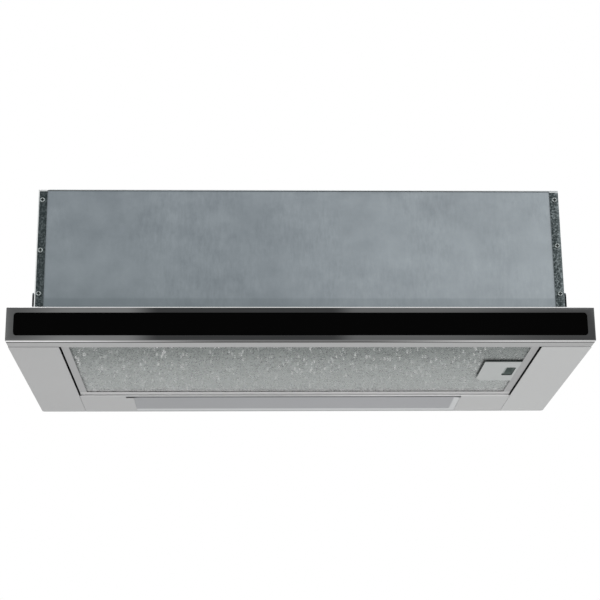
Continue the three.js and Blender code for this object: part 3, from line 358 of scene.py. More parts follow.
def shift_points(made, shift):
    """Moves a piece's points along X by shift(x, y, z), with all of these in millimetres."""
    points = np.empty(3 * len(made.data.vertices))
    made.data.vertices.foreach_get("co", points)
    x, y, z = points.reshape(-1, 3).T / MM
    points[0::3] += shift(x, y, z) * MM
    made.data.vertices.foreach_set("co", points)
    made.data.update()


OPENING_WIDER = 1.6                # the opening between the side panels, further out at each side


def widened(nearest, farthest):
    """A shift outwards of what lies between two distances from the middle plane."""
    def shift(x, y, z):
        return OPENING_WIDER * np.sign(x) * ((abs(x) > nearest) & (abs(x) < farthest))

    return shift


LIP_X, LIP_FOOT_Z = 249.0 * MM, 0.9 * MM       # the side panels' upturned lips, within and above; their inner faces are painted near-black as shade
LIP_BAND = (245.0, 248.5)          # distances from the middle plane between which the lips stand
# Painted light and shade: the side panels are painted lighter to the right, and the inner faces of
# their lips near-black as the shade in the gap beside the filter.
side_steel = satin_metal("satin_stainless_sides", 190, 0.3)
lip_painted_shade = abs(side_steel.along("X")).below(LIP_X, 0.2 * MM)
lip_painted_shade = lip_painted_shade * side_steel.along("Z").above(LIP_FOOT_Z, 0.3 * MM)
side_steel.set(Base_Color=side_steel.mix(lip_painted_shade, side_steel.tone, shade(8)))
for node in ("side_panel_left", "side_panel_right"):
    shift_points(formed(node, side_steel, 0.3), widened(*LIP_BAND))

LAMP_FRONT_Y = 76.5 * MM           # front fold of the lamp panel
FOLD_DEEP, FOLD_RISE = 1.3 * MM, 0.7 * MM      # the fold's painted highlight, rearwards and upwards
FOLD_LIT_X = 30 * MM               # the painted highlight is brightest to the right of this
PANEL_END_BAND = (244.0, 246.5)    # the same for the ends of the lamp panel
# Painted light: a painted highlight along the front fold's round, strongest to the right, and the
# panel painted lighter to the right.
lamp_steel = satin_metal("satin_stainless_lamp_panel", 189, 0.18)
painted_fold_highlight = lamp_steel.along("Y").below(LAMP_FRONT_Y + FOLD_DEEP, 0.3 * MM)
painted_round_highlight = lamp_steel.along("Z").below(FOLD_RISE, 0.3 * MM)
painted_round_highlight = painted_round_highlight * lamp_steel.along("X").above(FOLD_LIT_X, 60 * MM)
painted_fold_highlight = painted_fold_highlight * (0.35 + 0.65 * painted_round_highlight)
lamp_steel.set(Base_Color=lamp_steel.mix(painted_fold_highlight, lamp_steel.tone, shade(255)))
lamp_panel = formed("lamp_panel", lamp_steel, 0.1)
shift_points(lamp_panel, widened(*PANEL_END_BAND))

LENS_LOW, LENS_HIGH = (np.array(corner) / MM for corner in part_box("lamp_lens"))
LENS_WIDER = 3.4                   # the lens and its window end this much further right
WINDOW_GAP = 1.5                   # the window's edge lies nearer to the lens than this


def window_shift(x, y, z):
    """A shift to the right of the window's right edge."""
    at_edge = abs(x - LENS_HIGH[0]) < WINDOW_GAP
    return LENS_WIDER * (at_edge & (y > LENS_LOW[1] - 1) & (y < LENS_HIGH[1] + 1))


shift_points(lamp_panel, window_shift)

BEAM_FRONT_Y, BEAM_END_X = -148.2 * MM, 298.0 * MM
GROOVE = 1.9 * MM                  # between the bezel and the beam's front; painted dark there as shade in the groove
beam_steel = satin_metal("satin_stainless_beam", 183)
# Painted shade: dark in the groove behind the bezel and on the beam's left end, which lies in shadow.
groove_painted_shade = beam_steel.along("Y").below(BEAM_FRONT_Y + GROOVE, 0.5 * MM)
beam_painted_shade = groove_painted_shade.larger(beam_steel.along("X").below(-BEAM_END_X, 0.15 * MM))
beam_steel.set(Base_Color=beam_steel.mix(beam_painted_shade, beam_steel.tone, shade(52)))
formed("front_beam", beam_steel, 0.3)


# ---- front panel ------------------------------------------------------------------------------------
# A dark polished stainless bezel with rounded long edges and a groove behind its lower one. Its
# face carries painted reflections along its length, painted highlights on its long edges and
# painted shade in the groove. A strip of black back-painted glass is glued into its pocket.

PANEL_TOP, PANEL_FACE = 36.6 * MM, -152.5 * MM
UPPER_ROUND, LOWER_ROUND = 1.0 * MM, 0.75 * MM
STEP_TOP = 1.3 * MM                # a painted sheen: the paler band over the lower round, up to this height
TURNED_IN = 2.1 * MM               # behind this the bezel is turned in and painted dark as shade
LIT_LEFT, LIT_RIGHT = -162 * MM, 43 * MM       # the face is painted lighter outside these, as reflections
DIM_LEFT, DIM_RIGHT = -262 * MM, 200 * MM      # and painted darker again outside these
ROUND_LIT_LEFT, ROUND_LIT_RIGHT = -170 * MM, 140 * MM      # the lower round carries a painted highlight outside these
bezel_steel = Finish("dark_polished_stainless", Metallic=0.92)
polish = bezel_steel.noise(1200, 3, (0.012, 1.0, 1.0), 0.7)
panel_x, panel_z = bezel_steel.along("X"), bezel_steel.along("Z")
left_part, left_end = panel_x.below(LIT_LEFT, 18 * MM), panel_x.below(DIM_LEFT, 30 * MM)
right_part, right_end = panel_x.above(LIT_RIGHT, 14 * MM), panel_x.above(DIM_RIGHT, 90 * MM)
# painted reflections: the face is lighter and darker along its length
light = 0.1 + 0.6 * left_part - 0.36 * left_end + 0.34 * right_part - 0.28 * right_end
panel_tone = bezel_steel.mix(light + 0.1 * (polish - 0.5), shade(32, 33, 34), shade(130, 131, 131))
upper_edge_highlight = panel_z.above(PANEL_TOP - UPPER_ROUND, 0.3 * MM)
panel_tone = bezel_steel.mix(upper_edge_highlight, panel_tone, shade(252))
step_painted_sheen = panel_z.below(STEP_TOP, 0.25 * MM)
panel_tone = bezel_steel.mix(step_painted_sheen, panel_tone, shade(138, 139, 139))
round_highlight_share = panel_x.below(ROUND_LIT_LEFT, 100 * MM) + 0.9 * panel_x.above(ROUND_LIT_RIGHT, 90 * MM)
round_highlight_tone = bezel_steel.mix(round_highlight_share, shade(112), shade(250))
panel_tone = bezel_steel.mix(panel_z.below(LOWER_ROUND, 0.25 * MM), panel_tone, round_highlight_tone)
turned_in_shade = bezel_steel.along("Y").above(PANEL_FACE + TURNED_IN, 0.2 * MM)
bezel_steel.set(
    Base_Color=bezel_steel.mix(turned_in_shade, panel_tone, shade(34, 35, 35)),
    Roughness=0.24 + 0.12 * polish,
    Normal=bezel_steel.bump(polish, 0.012, 0.5),
)
formed("front_bezel", bezel_steel, 0.15)

black_glass = Finish("black_glass", Specular_IOR_Level=0.02)
smear = black_glass.noise(14, 3)
black_glass.set(
    Base_Color=black_glass.mix(smear, shade(0), shade(2)), Roughness=0.03 + 0.06 * smear,
)
formed("glass_strip", black_glass, 0.35)


# ---- controls ---------------------------------------------------------------------------------------
# A black moulded strip is clipped into the top of the beam over a small white board. Its four
# push buttons are separate keys with softly rounded tops.

def moulding(name, dark, light, texture=0.03, roughness=0.48):
    """Moulded plastic: a fine even texture and a slight cloudy change of gloss."""
    finish = Finish(name)
    grain = finish.noise(1500, 2)
    finish.tone = finish.mix(0.7 * grain + 0.3 * finish.noise(30), dark, light)
    finish.set(
        Base_Color=finish.tone,
        Roughness=roughness - 0.06 + 0.14 * finish.noise(40),
        Normal=finish.bump(grain, texture, 0.5),
    )
    return finish


black_moulding = moulding("black_moulding", shade(24, 24, 25), shade(40, 40, 42))
formed("control_strip", black_moulding, 0.2)
for node in ("button_low", "button_medium", "button_high", "button_light"):
    formed(node, black_moulding, 0.9, 4)

solder_mask = Finish("white_solder_mask", Roughness=0.4)
solder_mask.set(Base_Color=solder_mask.mix(
    solder_mask.noise(300, 3), shade(214, 217, 211), shade(238, 240, 235),
))
formed("switch_board", solder_mask, 0.15)


# ---- galvanised box ---------------------------------------------------------------------------------
# Walls, front and rear sheets, top cover and lower casing are galvanised sheet. It is blue-grey,
# with faint zinc crystals, fine upright streaks in places, and cloudy patches.

ZINC_DARK, ZINC_LIGHT = shade(111, 119, 125), shade(149, 157, 162)


def galvanised_sheet(name, crystals=0.25, contrast=1.0):
    """Zinc coating: crystals of unlike tone, broken streaks that run down, cloudy patches."""
    finish = Finish(name, Metallic=0.72)
    crystal = finish.lots(230.0)
    streak = finish.noise(330, 3, (1.0, 1.0, 0.3), 0.6)
    blotch = finish.noise(48, 4, (0.85, 1.0, 1.0), 0.55)
    where = finish.noise(13, 2).above(0.5, 0.12)
    patch = finish.noise(9, 3, (0.6, 1.0, 1.0), 0.5)
    grit = finish.noise(800, 2)
    marks = (streak - 0.5) * (0.1 + 0.5 * where) + crystals * 0.25 * (crystal - 0.5)
    marks = marks + 0.7 * (blotch - 0.5) + 0.9 * (patch - 0.5) + 0.08 * (grit - 0.5)
    finish.tone = finish.mix(0.5 + contrast * marks, ZINC_DARK, ZINC_LIGHT)
    finish.set(
        Base_Color=finish.tone,
        Roughness=0.34 + 0.1 * crystal + 0.12 * patch,
        Normal=finish.bump(0.6 * streak + 0.4 * grit, 0.03, 0.25),
    )
    return finish


sheet_zinc = galvanised_sheet("galvanised_sheet")
for node in ("rear_sheet", "tray_cover", "lamp_trough"):
    formed(node, sheet_zinc, 0.15)

COVER_FRONT_Y, COVER_CAP_X = -119.9 * MM, 265 * MM
cover_zinc = galvanised_sheet("galvanised_cover")
# Painted highlight along the cover's front edge, whitest at its left end over the wall's flange.
front_edge_highlight = cover_zinc.along("Y").below(COVER_FRONT_Y, 0.15 * MM)
left_cap_highlight = cover_zinc.along("X").below(-COVER_CAP_X, 0.3 * MM)
painted_edge_highlight = cover_zinc.mix(left_cap_highlight, shade(196, 200, 201), shade(240))
cover_zinc.set(Base_Color=cover_zinc.mix(front_edge_highlight, cover_zinc.tone, painted_edge_highlight))
formed("top_cover", cover_zinc, 0.15)

SHEET_FOOT = 56 * MM               # the front sheet is painted a little darker below this, as shade above the bezel
LIFT_X = 80 * MM                   # painted lighter towards its right, from about here, as light
SHADE_X, SHADE_Z = -100 * MM, 110 * MM         # painted darker towards its lower left, from about here, as shade
front_zinc = galvanised_sheet("galvanised_front_sheet", contrast=1.15)
sheet_x, sheet_z = front_zinc.along("X"), front_zinc.along("Z")
foot_shade = sheet_z.below(SHEET_FOOT, 1.5 * MM)
right_light = 0.2 * sheet_x.above(LIFT_X, 240 * MM)
right_light = front_zinc.mix(right_light, front_zinc.tone, shade(178, 184, 186))
low_left_shade = sheet_x.below(SHADE_X, 220 * MM) * (0.35 + 0.65 * sheet_z.below(SHADE_Z, 60 * MM))
front_zinc.set(Base_Color=front_zinc.mix(0.24 * foot_shade + 0.42 * low_left_shade, right_light, shade(98, 108, 112)))
formed("front_sheet", front_zinc, 0.15)

UPSTAND_X = 277.1 * MM             # flanges beside the box stand outside this
UPSTAND_FOOT = 40 * MM
CUT_EDGE_Y = -119.2 * MM
casing_zinc = galvanised_sheet("galvanised_casing")
# The upstands' front edges are painted dark: the bare cut edge of the sheet, with painted shade and
# dark reflection on it.
cut_edge_and_shade = abs(casing_zinc.along("X")).above(UPSTAND_X, 0.1 * MM)
cut_edge_and_shade = cut_edge_and_shade * casing_zinc.along("Y").below(CUT_EDGE_Y, 0.3 * MM)
cut_edge_and_shade = cut_edge_and_shade * casing_zinc.along("Z").above(UPSTAND_FOOT, 0.5 * MM)
casing_zinc.set(Base_Color=casing_zinc.mix(cut_edge_and_shade, casing_zinc.tone, shade(44, 48, 48)))
formed("lower_casing", casing_zinc, 0.12)

FLANGE_Y = -119.4 * MM             # the side walls' front flanges lie before this
FLANGE_INNER_X, FLANGE_OUTER_X = 266.7 * MM, 274.9 * MM
UNDER_COVER_Z = 174.2 * MM
wall_zinc = galvanised_sheet("galvanised_wall", 0.8)
# Painted light and shade on the walls' front flanges: dark as shade beside the front sheet, darkest on
# the left; spangle and outermost part painted lighter on the right as light; painted highlights along
# the left wall's outside edge and at the top under the cover.
speckle = wall_zinc.noise(520, 3, rough=0.75)
wall_x = wall_zinc.along("X")
on_right = wall_x.above(0.0, 0.01)
spangle_right_light = speckle.above(0.56, 0.14) * (0.45 + 0.55 * on_right)
outer_right_light = abs(wall_x).above(FLANGE_INNER_X + 6.6 * MM, 2.4 * MM) * on_right
flange_shade_tone = wall_zinc.mix(0.8 * spangle_right_light + 0.25 * outer_right_light, shade(32, 42, 43), shade(132, 141, 143))
on_flange = wall_zinc.along("Y").below(FLANGE_Y, 0.2 * MM)
left_edge_highlight = wall_x.below(-FLANGE_OUTER_X, 0.2 * MM)
pale = left_edge_highlight.larger(wall_zinc.along("Z").above(UNDER_COVER_Z, 0.3 * MM))
flange = wall_zinc.mix(pale, flange_shade_tone, shade(214, 217, 217))
wall_zinc.set(Base_Color=wall_zinc.mix(on_flange, wall_zinc.tone, flange))
for node in ("box_wall_left", "box_wall_right"):
    formed(node, wall_zinc, 0.12)


# ---- box screws -------------------------------------------------------------------------------------
# Zinc plated pan-head screws hold the front sheet to the walls' flanges. Their cross recess is
# deep and painted dark as shade, so that the head shows as a bright ring.

HEAD_R, HEAD_RISE = 2.7, 1.7
SHANK_R = 1.5
SCREW_SIDES = 32
RECESS_ARM, RECESS_BETWEEN = 0.74, 0.44        # the recess's reach, as shares of the head's radius
RECESS_DEEP = 1.5


def grid_faces(rows, columns, close_rows=False, close_columns=False, flip=False):
    """Four-sided faces between neighbours of a rows by columns array of points."""
    i = np.arange(rows if close_rows else rows - 1)[:, None]
    j = np.arange(columns if close_columns else columns - 1)[None, :]
    nearby = [(i, j), (i, j + 1), (i + 1, j + 1), (i + 1, j)]
    corners = [(a % rows) * columns + b % columns for a, b in nearby]
    faces = np.stack(np.broadcast_arrays(*corners), -1).reshape(-1, 4)
    return (faces[:, ::-1] if flip else faces).tolist()


def screw(node):
    """A surface of turning about Y: radius and depth by ring. The recess sinks the head's middle
    by a share that is 1 inside a four-armed star, which reaches further along its arms than
    between them."""
    low, high = (np.array(corner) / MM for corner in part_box(node))
    centre = (low + high) / 2
    length = high[1] - low[1] - HEAD_RISE
    turns = np.linspace(0, 2 * np.pi, SCREW_SIDES, endpoint=False)
    share = np.array([0.02, 0.16, 0.3, 0.42, 0.54, 0.66, 0.8, 0.92, 1.0])[:, None]
    star = RECESS_BETWEEN + (RECESS_ARM - RECESS_BETWEEN) * np.abs(np.cos(2 * turns)) ** 3
    dome = HEAD_RISE * np.sqrt(1 - (0.92 * share) ** 2)
    sunk = RECESS_DEEP * np.clip((star - share) / 0.1, 0, 1)
    ring = np.zeros((1, SCREW_SIDES))
    radius = np.concatenate([
        HEAD_R * share + ring, ring + HEAD_R, ring + SHANK_R, ring + SHANK_R, ring + 0.05,
    ])
    depth = np.concatenate([sunk - dome, ring, ring, ring + length - SHANK_R, ring + length])
    points = np.stack([
        centre[0] + radius * np.cos(turns), low[1] + HEAD_RISE + depth,
        centre[2] + radius * np.sin(turns),
    ], -1)
    rows = len(points)
    faces = grid_faces(rows, SCREW_SIDES, close_columns=True, flip=True)
    last_ring = [(rows - 1) * SCREW_SIDES + i for i in range(SCREW_SIDES)]
    faces += [list(range(SCREW_SIDES)), last_ring[::-1]]
    made = shape(node + "_turned", points, faces)
    # a share for the recess's painted shade
    in_recess = np.zeros(radius.shape)
    in_recess[:len(share)] = np.clip((star - share) / 0.1 + 0.4, 0, 1)
    made.data.attributes.new("recess_shade", "FLOAT", "POINT").data.foreach_set("value", in_recess.ravel())
    made.data.shade_smooth()
    return made


screw_zinc = Finish("bright_zinc", Metallic=0.85)
mottle = screw_zinc.noise(400, 3)
# painted shade in the cross recess
recess_shade = screw_zinc.node("ShaderNodeAttribute", {"attribute_name": "recess_shade"}, output="Fac")
plating = screw_zinc.mix(mottle, shade(132, 140, 140), shade(168, 175, 174))
screw_zinc.set(
    Base_Color=screw_zinc.mix(recess_shade, plating, shade(40, 46, 46)), Roughness=0.24 + 0.2 * mottle,
)
for side in ("left", "right"):
    for number in (1, 2, 3):
        node = f"box_screw_{side}_{number}"
        place_piece(screw(node), screw_zinc, "casing", slot_of[node], node)


# ---- grease filter ----------------------------------------------------------------------------------
# A satin aluminium channel frame holds a pack of expanded aluminium. The lowest and uppermost
# sheets show their strands; between them lies crumpled foil. Both carry painted glints, and frame
# and mesh have painted light and shade.

FRAME_WALL_X, FRAME_WALL_Z = 245.9 * MM, 2.3 * MM
REAR_RIM_Y = 65 * MM
WALL_BAND = (243.0, 245.0)         # the side walls stand this far from the middle plane
FADE_LOW, FADE_HIGH = 2.6, 10.8    # heights between which the shift of the side walls fades out
filter_aluminium = satin_metal("satin_aluminium", 176)
# Painted shade on the frame's side walls above their feet, which face the dark gaps, and a painted
# lighter band along the rear rim as light.
beside = abs(filter_aluminium.along("X")).above(FRAME_WALL_X, 0.1 * MM)
beside = beside * filter_aluminium.along("Z").above(FRAME_WALL_Z, 0.2 * MM)
rear_rim_light = filter_aluminium.along("Y").above(REAR_RIM_Y, 1.5 * MM)
rim = filter_aluminium.mix(0.7 * rear_rim_light, filter_aluminium.tone, shade(224))
filter_aluminium.set(Base_Color=filter_aluminium.mix(0.5 * beside, rim, shade(110)))


def feet_shift(x, y, z):
    """A shift outwards of the side walls that fades to nothing with height."""
    return widened(*WALL_BAND)(x, y, z) * np.clip((FADE_HIGH - z) / (FADE_HIGH - FADE_LOW), 0, 1)


shift_points(formed("filter_frame", filter_aluminium, 0.25), feet_shift)


def expanded_sheet(name, x, y, z, cell, strand, thick, hole=None, flip=False):
    """Expanded metal. Strands run along Y side by side, and each turns left and right by turns,
    so that neighbours meet where they turn and leave diamonds between. A strand is a bar of
    three faces whose flat side tilts by a tenth of a millimetre, as a cut strand does. It is
    closed at the sheet's rim and at a hole."""
    wide, long = cell
    count = int((x[1] - x[0]) / wide)
    steps = int((y[1] - y[0]) / long)
    i = np.arange(count)[:, None]
    j = np.arange(steps + 1)[None, :]
    way = np.where((i + j) % 2 == 0, 1.0, -1.0)
    middle_x = x[0] + (i + 0.5) * wide + way * (wide / 2 - 0.3 * strand)
    middle_y = y[0] + j * (y[1] - y[0]) / steps + 0.0 * middle_x
    up = -1.0 if flip else 1.0
    tilt = 0.1 * np.where(j % 2 == 0, 1.0, -1.0) + 0.0 * middle_x
    corners = [
        (middle_x - strand / 2, z + up * (0.1 + tilt)),
        (middle_x + strand / 2, z + up * (0.1 - tilt)),
        (middle_x, z + up * thick + 0 * tilt),
    ]
    points = np.stack([np.stack([cx, middle_y, cz], -1) for cx, cz in corners], 2)
    keep = np.ones((count, steps), bool)
    if hole:
        at_x, at_y = middle_x[:, :-1], (middle_y[:, :-1] + middle_y[:, 1:]) / 2
        keep = ~((at_x > hole[0]) & (at_x < hole[1]) & (at_y > hole[2]) & (at_y < hole[3]))
    first = (i * (steps + 1) + j[:, :-1]) * 3
    base = first[keep]
    after = base + 3
    sides = np.concatenate([
        np.stack([base + a, after + a, after + b, base + b], -1) for a, b in ((0, 1), (1, 2), (2, 0))
    ])
    begins = first[keep & ~np.pad(keep[:, :-1], ((0, 0), (1, 0)))]
    stops = first[keep & ~np.pad(keep[:, 1:], ((0, 0), (0, 1)))] + 3
    ends = np.concatenate([begins[:, None] + [0, 1, 2], stops[:, None] + [2, 1, 0]])
    if flip:
        sides, ends = sides[:, ::-1], ends[:, ::-1]
    return shape(name, points, sides.tolist() + ends.tolist())


def foil_pack(name, x, y, z, cells, crumple, seed, hole=None):
    """A closed slab whose two broad faces are crumpled: each is its mean height plus a sum of
    three random fields, smoothed over unlike widths, that fades out at the slab's rim. Round a
    hole the lower face rises to the upper one and is joined to it."""
    draw = np.random.default_rng(seed)
    columns, rows = cells

    def field(shape_of, blur):
        rough = draw.uniform(-1, 1, shape_of)
        for axis in (0, 1):
            for _ in range(blur):
                rough = (np.roll(rough, 1, axis) + rough + np.roll(rough, -1, axis)) / 3
        return rough / np.abs(rough).max()

    s, t = np.meshgrid(np.linspace(0, 1, columns), np.linspace(0, 1, rows), indexing="ij")
    rim = np.clip(np.minimum.reduce([s, 1 - s, t, 1 - t]) * 40, 0, 1)
    px, py = x[0] + s * (x[1] - x[0]), y[0] + t * (y[1] - y[0])
    lower, upper = [
        height + side * crumple * rim * (
            0.45 * field(s.shape, 0) + 0.35 * field(s.shape, 1) + 0.2 * field(s.shape, 6) - 0.3
        ) for height, side in ((z[0], -1), (z[1], 1))
    ]
    kept = np.ones((columns - 1, rows - 1), bool)
    if hole:
        within = (px > hole[0]) & (px < hole[1]) & (py > hole[2]) & (py < hole[3])
        lower = np.where(within, upper, lower)
        kept = ~(within[:-1, :-1] & within[1:, :-1] & within[1:, 1:] & within[:-1, 1:])
    points = np.concatenate([
        np.stack([px, py, lower], -1).reshape(-1, 3), np.stack([px, py, upper], -1).reshape(-1, 3),
    ])
    size = columns * rows
    kept = kept.ravel()
    plan = np.array(grid_faces(columns, rows))[kept]
    ring = np.concatenate([
        np.arange(rows), np.arange(1, columns) * rows + rows - 1,
        (columns - 1) * rows + np.arange(rows - 2, -1, -1), np.arange(columns - 2, 0, -1) * rows,
    ])
    onward = np.roll(ring, -1)
    edge = np.stack([onward, ring, ring + size, onward + size], -1)
    faces = np.concatenate([plan, plan[:, ::-1] + size, edge])
    made = shape(name, points, faces.tolist())
    work = bmesh.new()
    work.from_mesh(made.data)
    bmesh.ops.delete(work, geom=[v for v in work.verts if not v.link_faces], context="VERTS")
    bmesh.ops.remove_doubles(work, verts=work.verts, dist=0.001 * MM)
    work.to_mesh(made.data)
    work.free()
    return made


# size and shape of the painted glints
GLINT_SCALE, GLINT_STRETCH = 320.0, (1.0, 0.32, 0.0)


def bright_aluminium(name, dark, light, cells, contrast):
    """Bare aluminium: each small facet has its own tone, and scattered ones carry painted glints."""
    finish = Finish(name)
    tone = finish.lots(cells, stretch=(1.0, 0.6, 1.0))
    spot = finish.cells(GLINT_SCALE, "Distance", GLINT_STRETCH).below(0.37, 0.05)
    drawn = finish.lots(GLINT_SCALE, "Green", GLINT_STRETCH).above(0.75, 0.02)
    where = finish.noise(14, 2).above(0.45, 0.09)
    finish.glint = spot * drawn * (0.3 + 0.7 * where)
    finish.tone = finish.mix(0.5 + contrast * (tone - 0.5), dark, light)
    finish.set(
        Roughness=0.2 + 0.3 * tone, Metallic=0.75 * (1.0 - finish.glint),
        Normal=finish.bump(tone, 0.25, 0.6),
    )
    return finish


MESH_FRONT_Y = -75 * MM            # the mesh has strong contrast before this, is painted an even, lighter grey behind this, as light and painted paler still behind this, as light against the rim's shade
MESH_EVEN_Y = -20 * MM             # is an even grey behind this
MESH_REAR_Y = 60 * MM              # and paler still behind this
LATCH_X, LATCH_Y = (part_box("latch_plate")[0][axis] for axis in (0, 1))
LATCH_HOLE = (200.9, 240.0, -46.7, -7.3)       # from and to along X, then along Y
GAP_BESIDE, GAP_BEFORE = 1.7 * MM, 5.0 * MM    # a painted shadow of a gap at the latch plate's left and front
GAP_REAR_Y = -1.0 * MM
PLATE_RIM = 1.0 * MM


def filter_tones(metal, front, rear):
    """Strong contrast at the front edge, an even, lighter grey with fewer painted glints to the rear,
    paler still at the very rear as painted light against the rim's shade, and a painted shadow in a
    dark gap before and beside the latch plate."""
    deep, across = metal.along("Y"), metal.along("X")
    back = deep.above(MESH_EVEN_Y, 85 * MM)
    near = metal.mix(0.55 * deep.below(MESH_FRONT_Y, 50 * MM), metal.tone, front)
    rear = metal.mix(deep.above(MESH_REAR_Y, 4 * MM), rear, shade(250))
    even = metal.mix(0.85 * back, near, rear)
    beside = across.above(LATCH_X - GAP_BESIDE, 0.4 * MM)
    beside = beside * deep.above(LATCH_Y - GAP_BEFORE, 0.8 * MM) * deep.below(GAP_REAR_Y, 1.0 * MM)
    within = across.above(LATCH_X + PLATE_RIM, 0.5 * MM) * deep.above(LATCH_Y + PLATE_RIM, 0.5 * MM)
    gap = 0.8 * beside * (1.0 - within)
    glinting = metal.mix(metal.glint * (1.0 - 0.55 * back), even, shade(255))
    metal.set(Base_Color=metal.mix(gap, glinting, shade(40, 46, 45)))


strand_metal = bright_aluminium(
    "expanded_aluminium", shade(158, 163, 161), shade(220, 223, 222), 420.0, 0.8,
)
# painted lighter to the rear, as light
filter_tones(strand_metal, shade(160, 166, 164), shade(208, 211, 210))
foil_metal = bright_aluminium(
    "crumpled_foil", shade(128, 134, 133), shade(208, 212, 211), 300.0, 0.8,
)
# the foil is painted dark at the front as shade in the holes, and pale at the rear as light
filter_tones(foil_metal, shade(74, 82, 80), shade(200, 204, 203))
MESH_LOW, MESH_HIGH = (np.array(corner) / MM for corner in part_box("filter_mesh"))
MESH_EDGE = 0.6                    # the sheets and the pack end this far inside the frame's channel
MESH_X = (MESH_LOW[0] + MESH_EDGE, MESH_HIGH[0] - MESH_EDGE)
MESH_Y = (MESH_LOW[1] + MESH_EDGE, MESH_HIGH[1] - MESH_EDGE)
lower_sheet = expanded_sheet(
    "filter_sheet_lower", MESH_X, MESH_Y, MESH_LOW[2] + 0.52, cell=(1.5, 2.6), strand=0.62,
    thick=0.5, hole=LATCH_HOLE, flip=True,
)
place_piece(lower_sheet, strand_metal, "filter", "filter_mesh", "filter_mesh")
upper_sheet = expanded_sheet(
    "filter_sheet_upper", MESH_X, MESH_Y, MESH_HIGH[2] - 0.62, cell=(3.0, 5.0), strand=0.9,
    thick=0.6, hole=LATCH_HOLE,
)
place_piece(upper_sheet, strand_metal, "filter", "filter_mesh")
pack = foil_pack(
    "filter_pack", MESH_X, MESH_Y, (MESH_LOW[2] + 1.7, MESH_HIGH[2] - 1.3), cells=(243, 101),
    crumple=0.9, seed=11, hole=LATCH_HOLE,
)
place_piece(pack, foil_metal, "filter", "filter_mesh")


# ---- filter latch -----------------------------------------------------------------------------------
# A grey moulded plate in the filter's corner has a finger recess; its sides and recess are painted
# dark as shade. A tab in it draws the bolt back against a small coil spring.

# Painted shade: the plate's sides and recess are dark above the first height, and the recess's roof a
# lighter shade above the second.
RECESS_SIDE_Z, RECESS_ROOF_Z = 1.75 * MM, 3.1 * MM
grey_moulding = moulding("grey_moulding", shade(180, 184, 183), shade(194, 197, 196), 0.015, 0.42)
plate_z = grey_moulding.along("Z")
recess_side_shade = plate_z.above(RECESS_SIDE_Z, 0.15 * MM)
recess_roof_shade = plate_z.above(RECESS_ROOF_Z, 0.3 * MM)
recess_shaded_tone = grey_moulding.mix(recess_side_shade, grey_moulding.tone, shade(78, 87, 85))
grey_moulding.set(Base_Color=grey_moulding.mix(recess_roof_shade, recess_shaded_tone, shade(138, 149, 146)))
formed("latch_plate", grey_moulding, 0.35, 3)
slide_moulding = moulding("slide_moulding", shade(150, 160, 157), shade(170, 179, 176), 0.015, 0.42)
formed("latch_slide", slide_moulding, 0.2)

SPRING_R, SPRING_WIRE_R, SPRING_TURNS = 1.7, 0.3, 7
STEPS_A_TURN, WIRE_SIDES = 24, 10
SPRING_LOW, SPRING_HIGH = (np.array(corner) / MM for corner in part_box("latch_spring"))
SPRING_MIDDLE = (SPRING_LOW + SPRING_HIGH) / 2
SPRING_REACH = (SPRING_LOW[0] + SPRING_WIRE_R, SPRING_HIGH[0] - SPRING_WIRE_R)
joints = {joint["name"]: joint for joint in frame["record"]["behaviour"]["joints"]}
BOLT_TRAVEL = joints["latch_pull"]["range_m"][1] / MM


def coil(name):
    """A wire of circular section carried along a helix about an axis along X. A point of the
    wire is the helix's point plus the wire's radius times a unit vector that turns about the
    helix's direction, between its outward direction and the one across."""
    t = np.linspace(0, 1, STEPS_A_TURN * SPRING_TURNS)[:, None]
    around = np.linspace(0, 2 * np.pi, WIRE_SIDES, endpoint=False)[None, :]
    angle = 2 * np.pi * SPRING_TURNS * t
    out = np.stack([0 * angle, np.cos(angle), np.sin(angle)], -1)
    rise = (SPRING_REACH[1] - SPRING_REACH[0]) / (2 * np.pi * SPRING_TURNS * SPRING_R)
    run = np.stack([0 * angle + rise, -np.sin(angle), np.cos(angle)], -1)
    run /= np.linalg.norm(run, axis=-1, keepdims=True)
    side = np.cross(run, out)
    middle = SPRING_R * out + np.stack([
        SPRING_REACH[0] + t * (SPRING_REACH[1] - SPRING_REACH[0]), SPRING_MIDDLE[1] + 0 * t,
        SPRING_MIDDLE[2] + 0 * t,
    ], -1)
    points = middle + SPRING_WIRE_R * (
        np.cos(around)[..., None] * out + np.sin(around)[..., None] * side
    )
    rings = len(points)
    faces = grid_faces(rings, WIRE_SIDES, close_columns=True)
    last_ring = [(rings - 1) * WIRE_SIDES + i for i in range(WIRE_SIDES)]
    faces += [list(range(WIRE_SIDES))[::-1], last_ring]
    made = shape(name, points, faces)
    made.data.shade_smooth()
    return made


def zinc_plated(name, dark, light):
    """Zinc plate on steel: a bright, slightly cloudy grey with faint rolling lines."""
    finish = Finish(name, Metallic=0.85)
    cloud = finish.noise(60, 3)
    lines = finish.noise(900, 2, (1.0, 0.03, 1.0))
    finish.tone = finish.mix(0.6 * cloud + 0.4 * lines, dark, light)
    finish.set(Base_Color=finish.tone, Roughness=0.24 + 0.14 * cloud + 0.08 * lines)
    return finish


zinc_plate = zinc_plated("zinc_plate", shade(160, 165, 167), shade(192, 196, 197))
spring = place_piece(coil("latch_coil"), zinc_plate, "filter", "zinc_plated_steel", "latch_spring")
1 - BOLT_TRAVEL / (SPRING_HIGH[0] - SPRING_LOW[0])
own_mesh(spring)


# ---- tray and slides --------------------------------------------------------------------------------
# The tray is folded from zinc plated steel and runs on telescopic ball slides of the same.
# The undersides of its rails, behind the filter's edges, lie in the dark and are painted dark as
# shade.

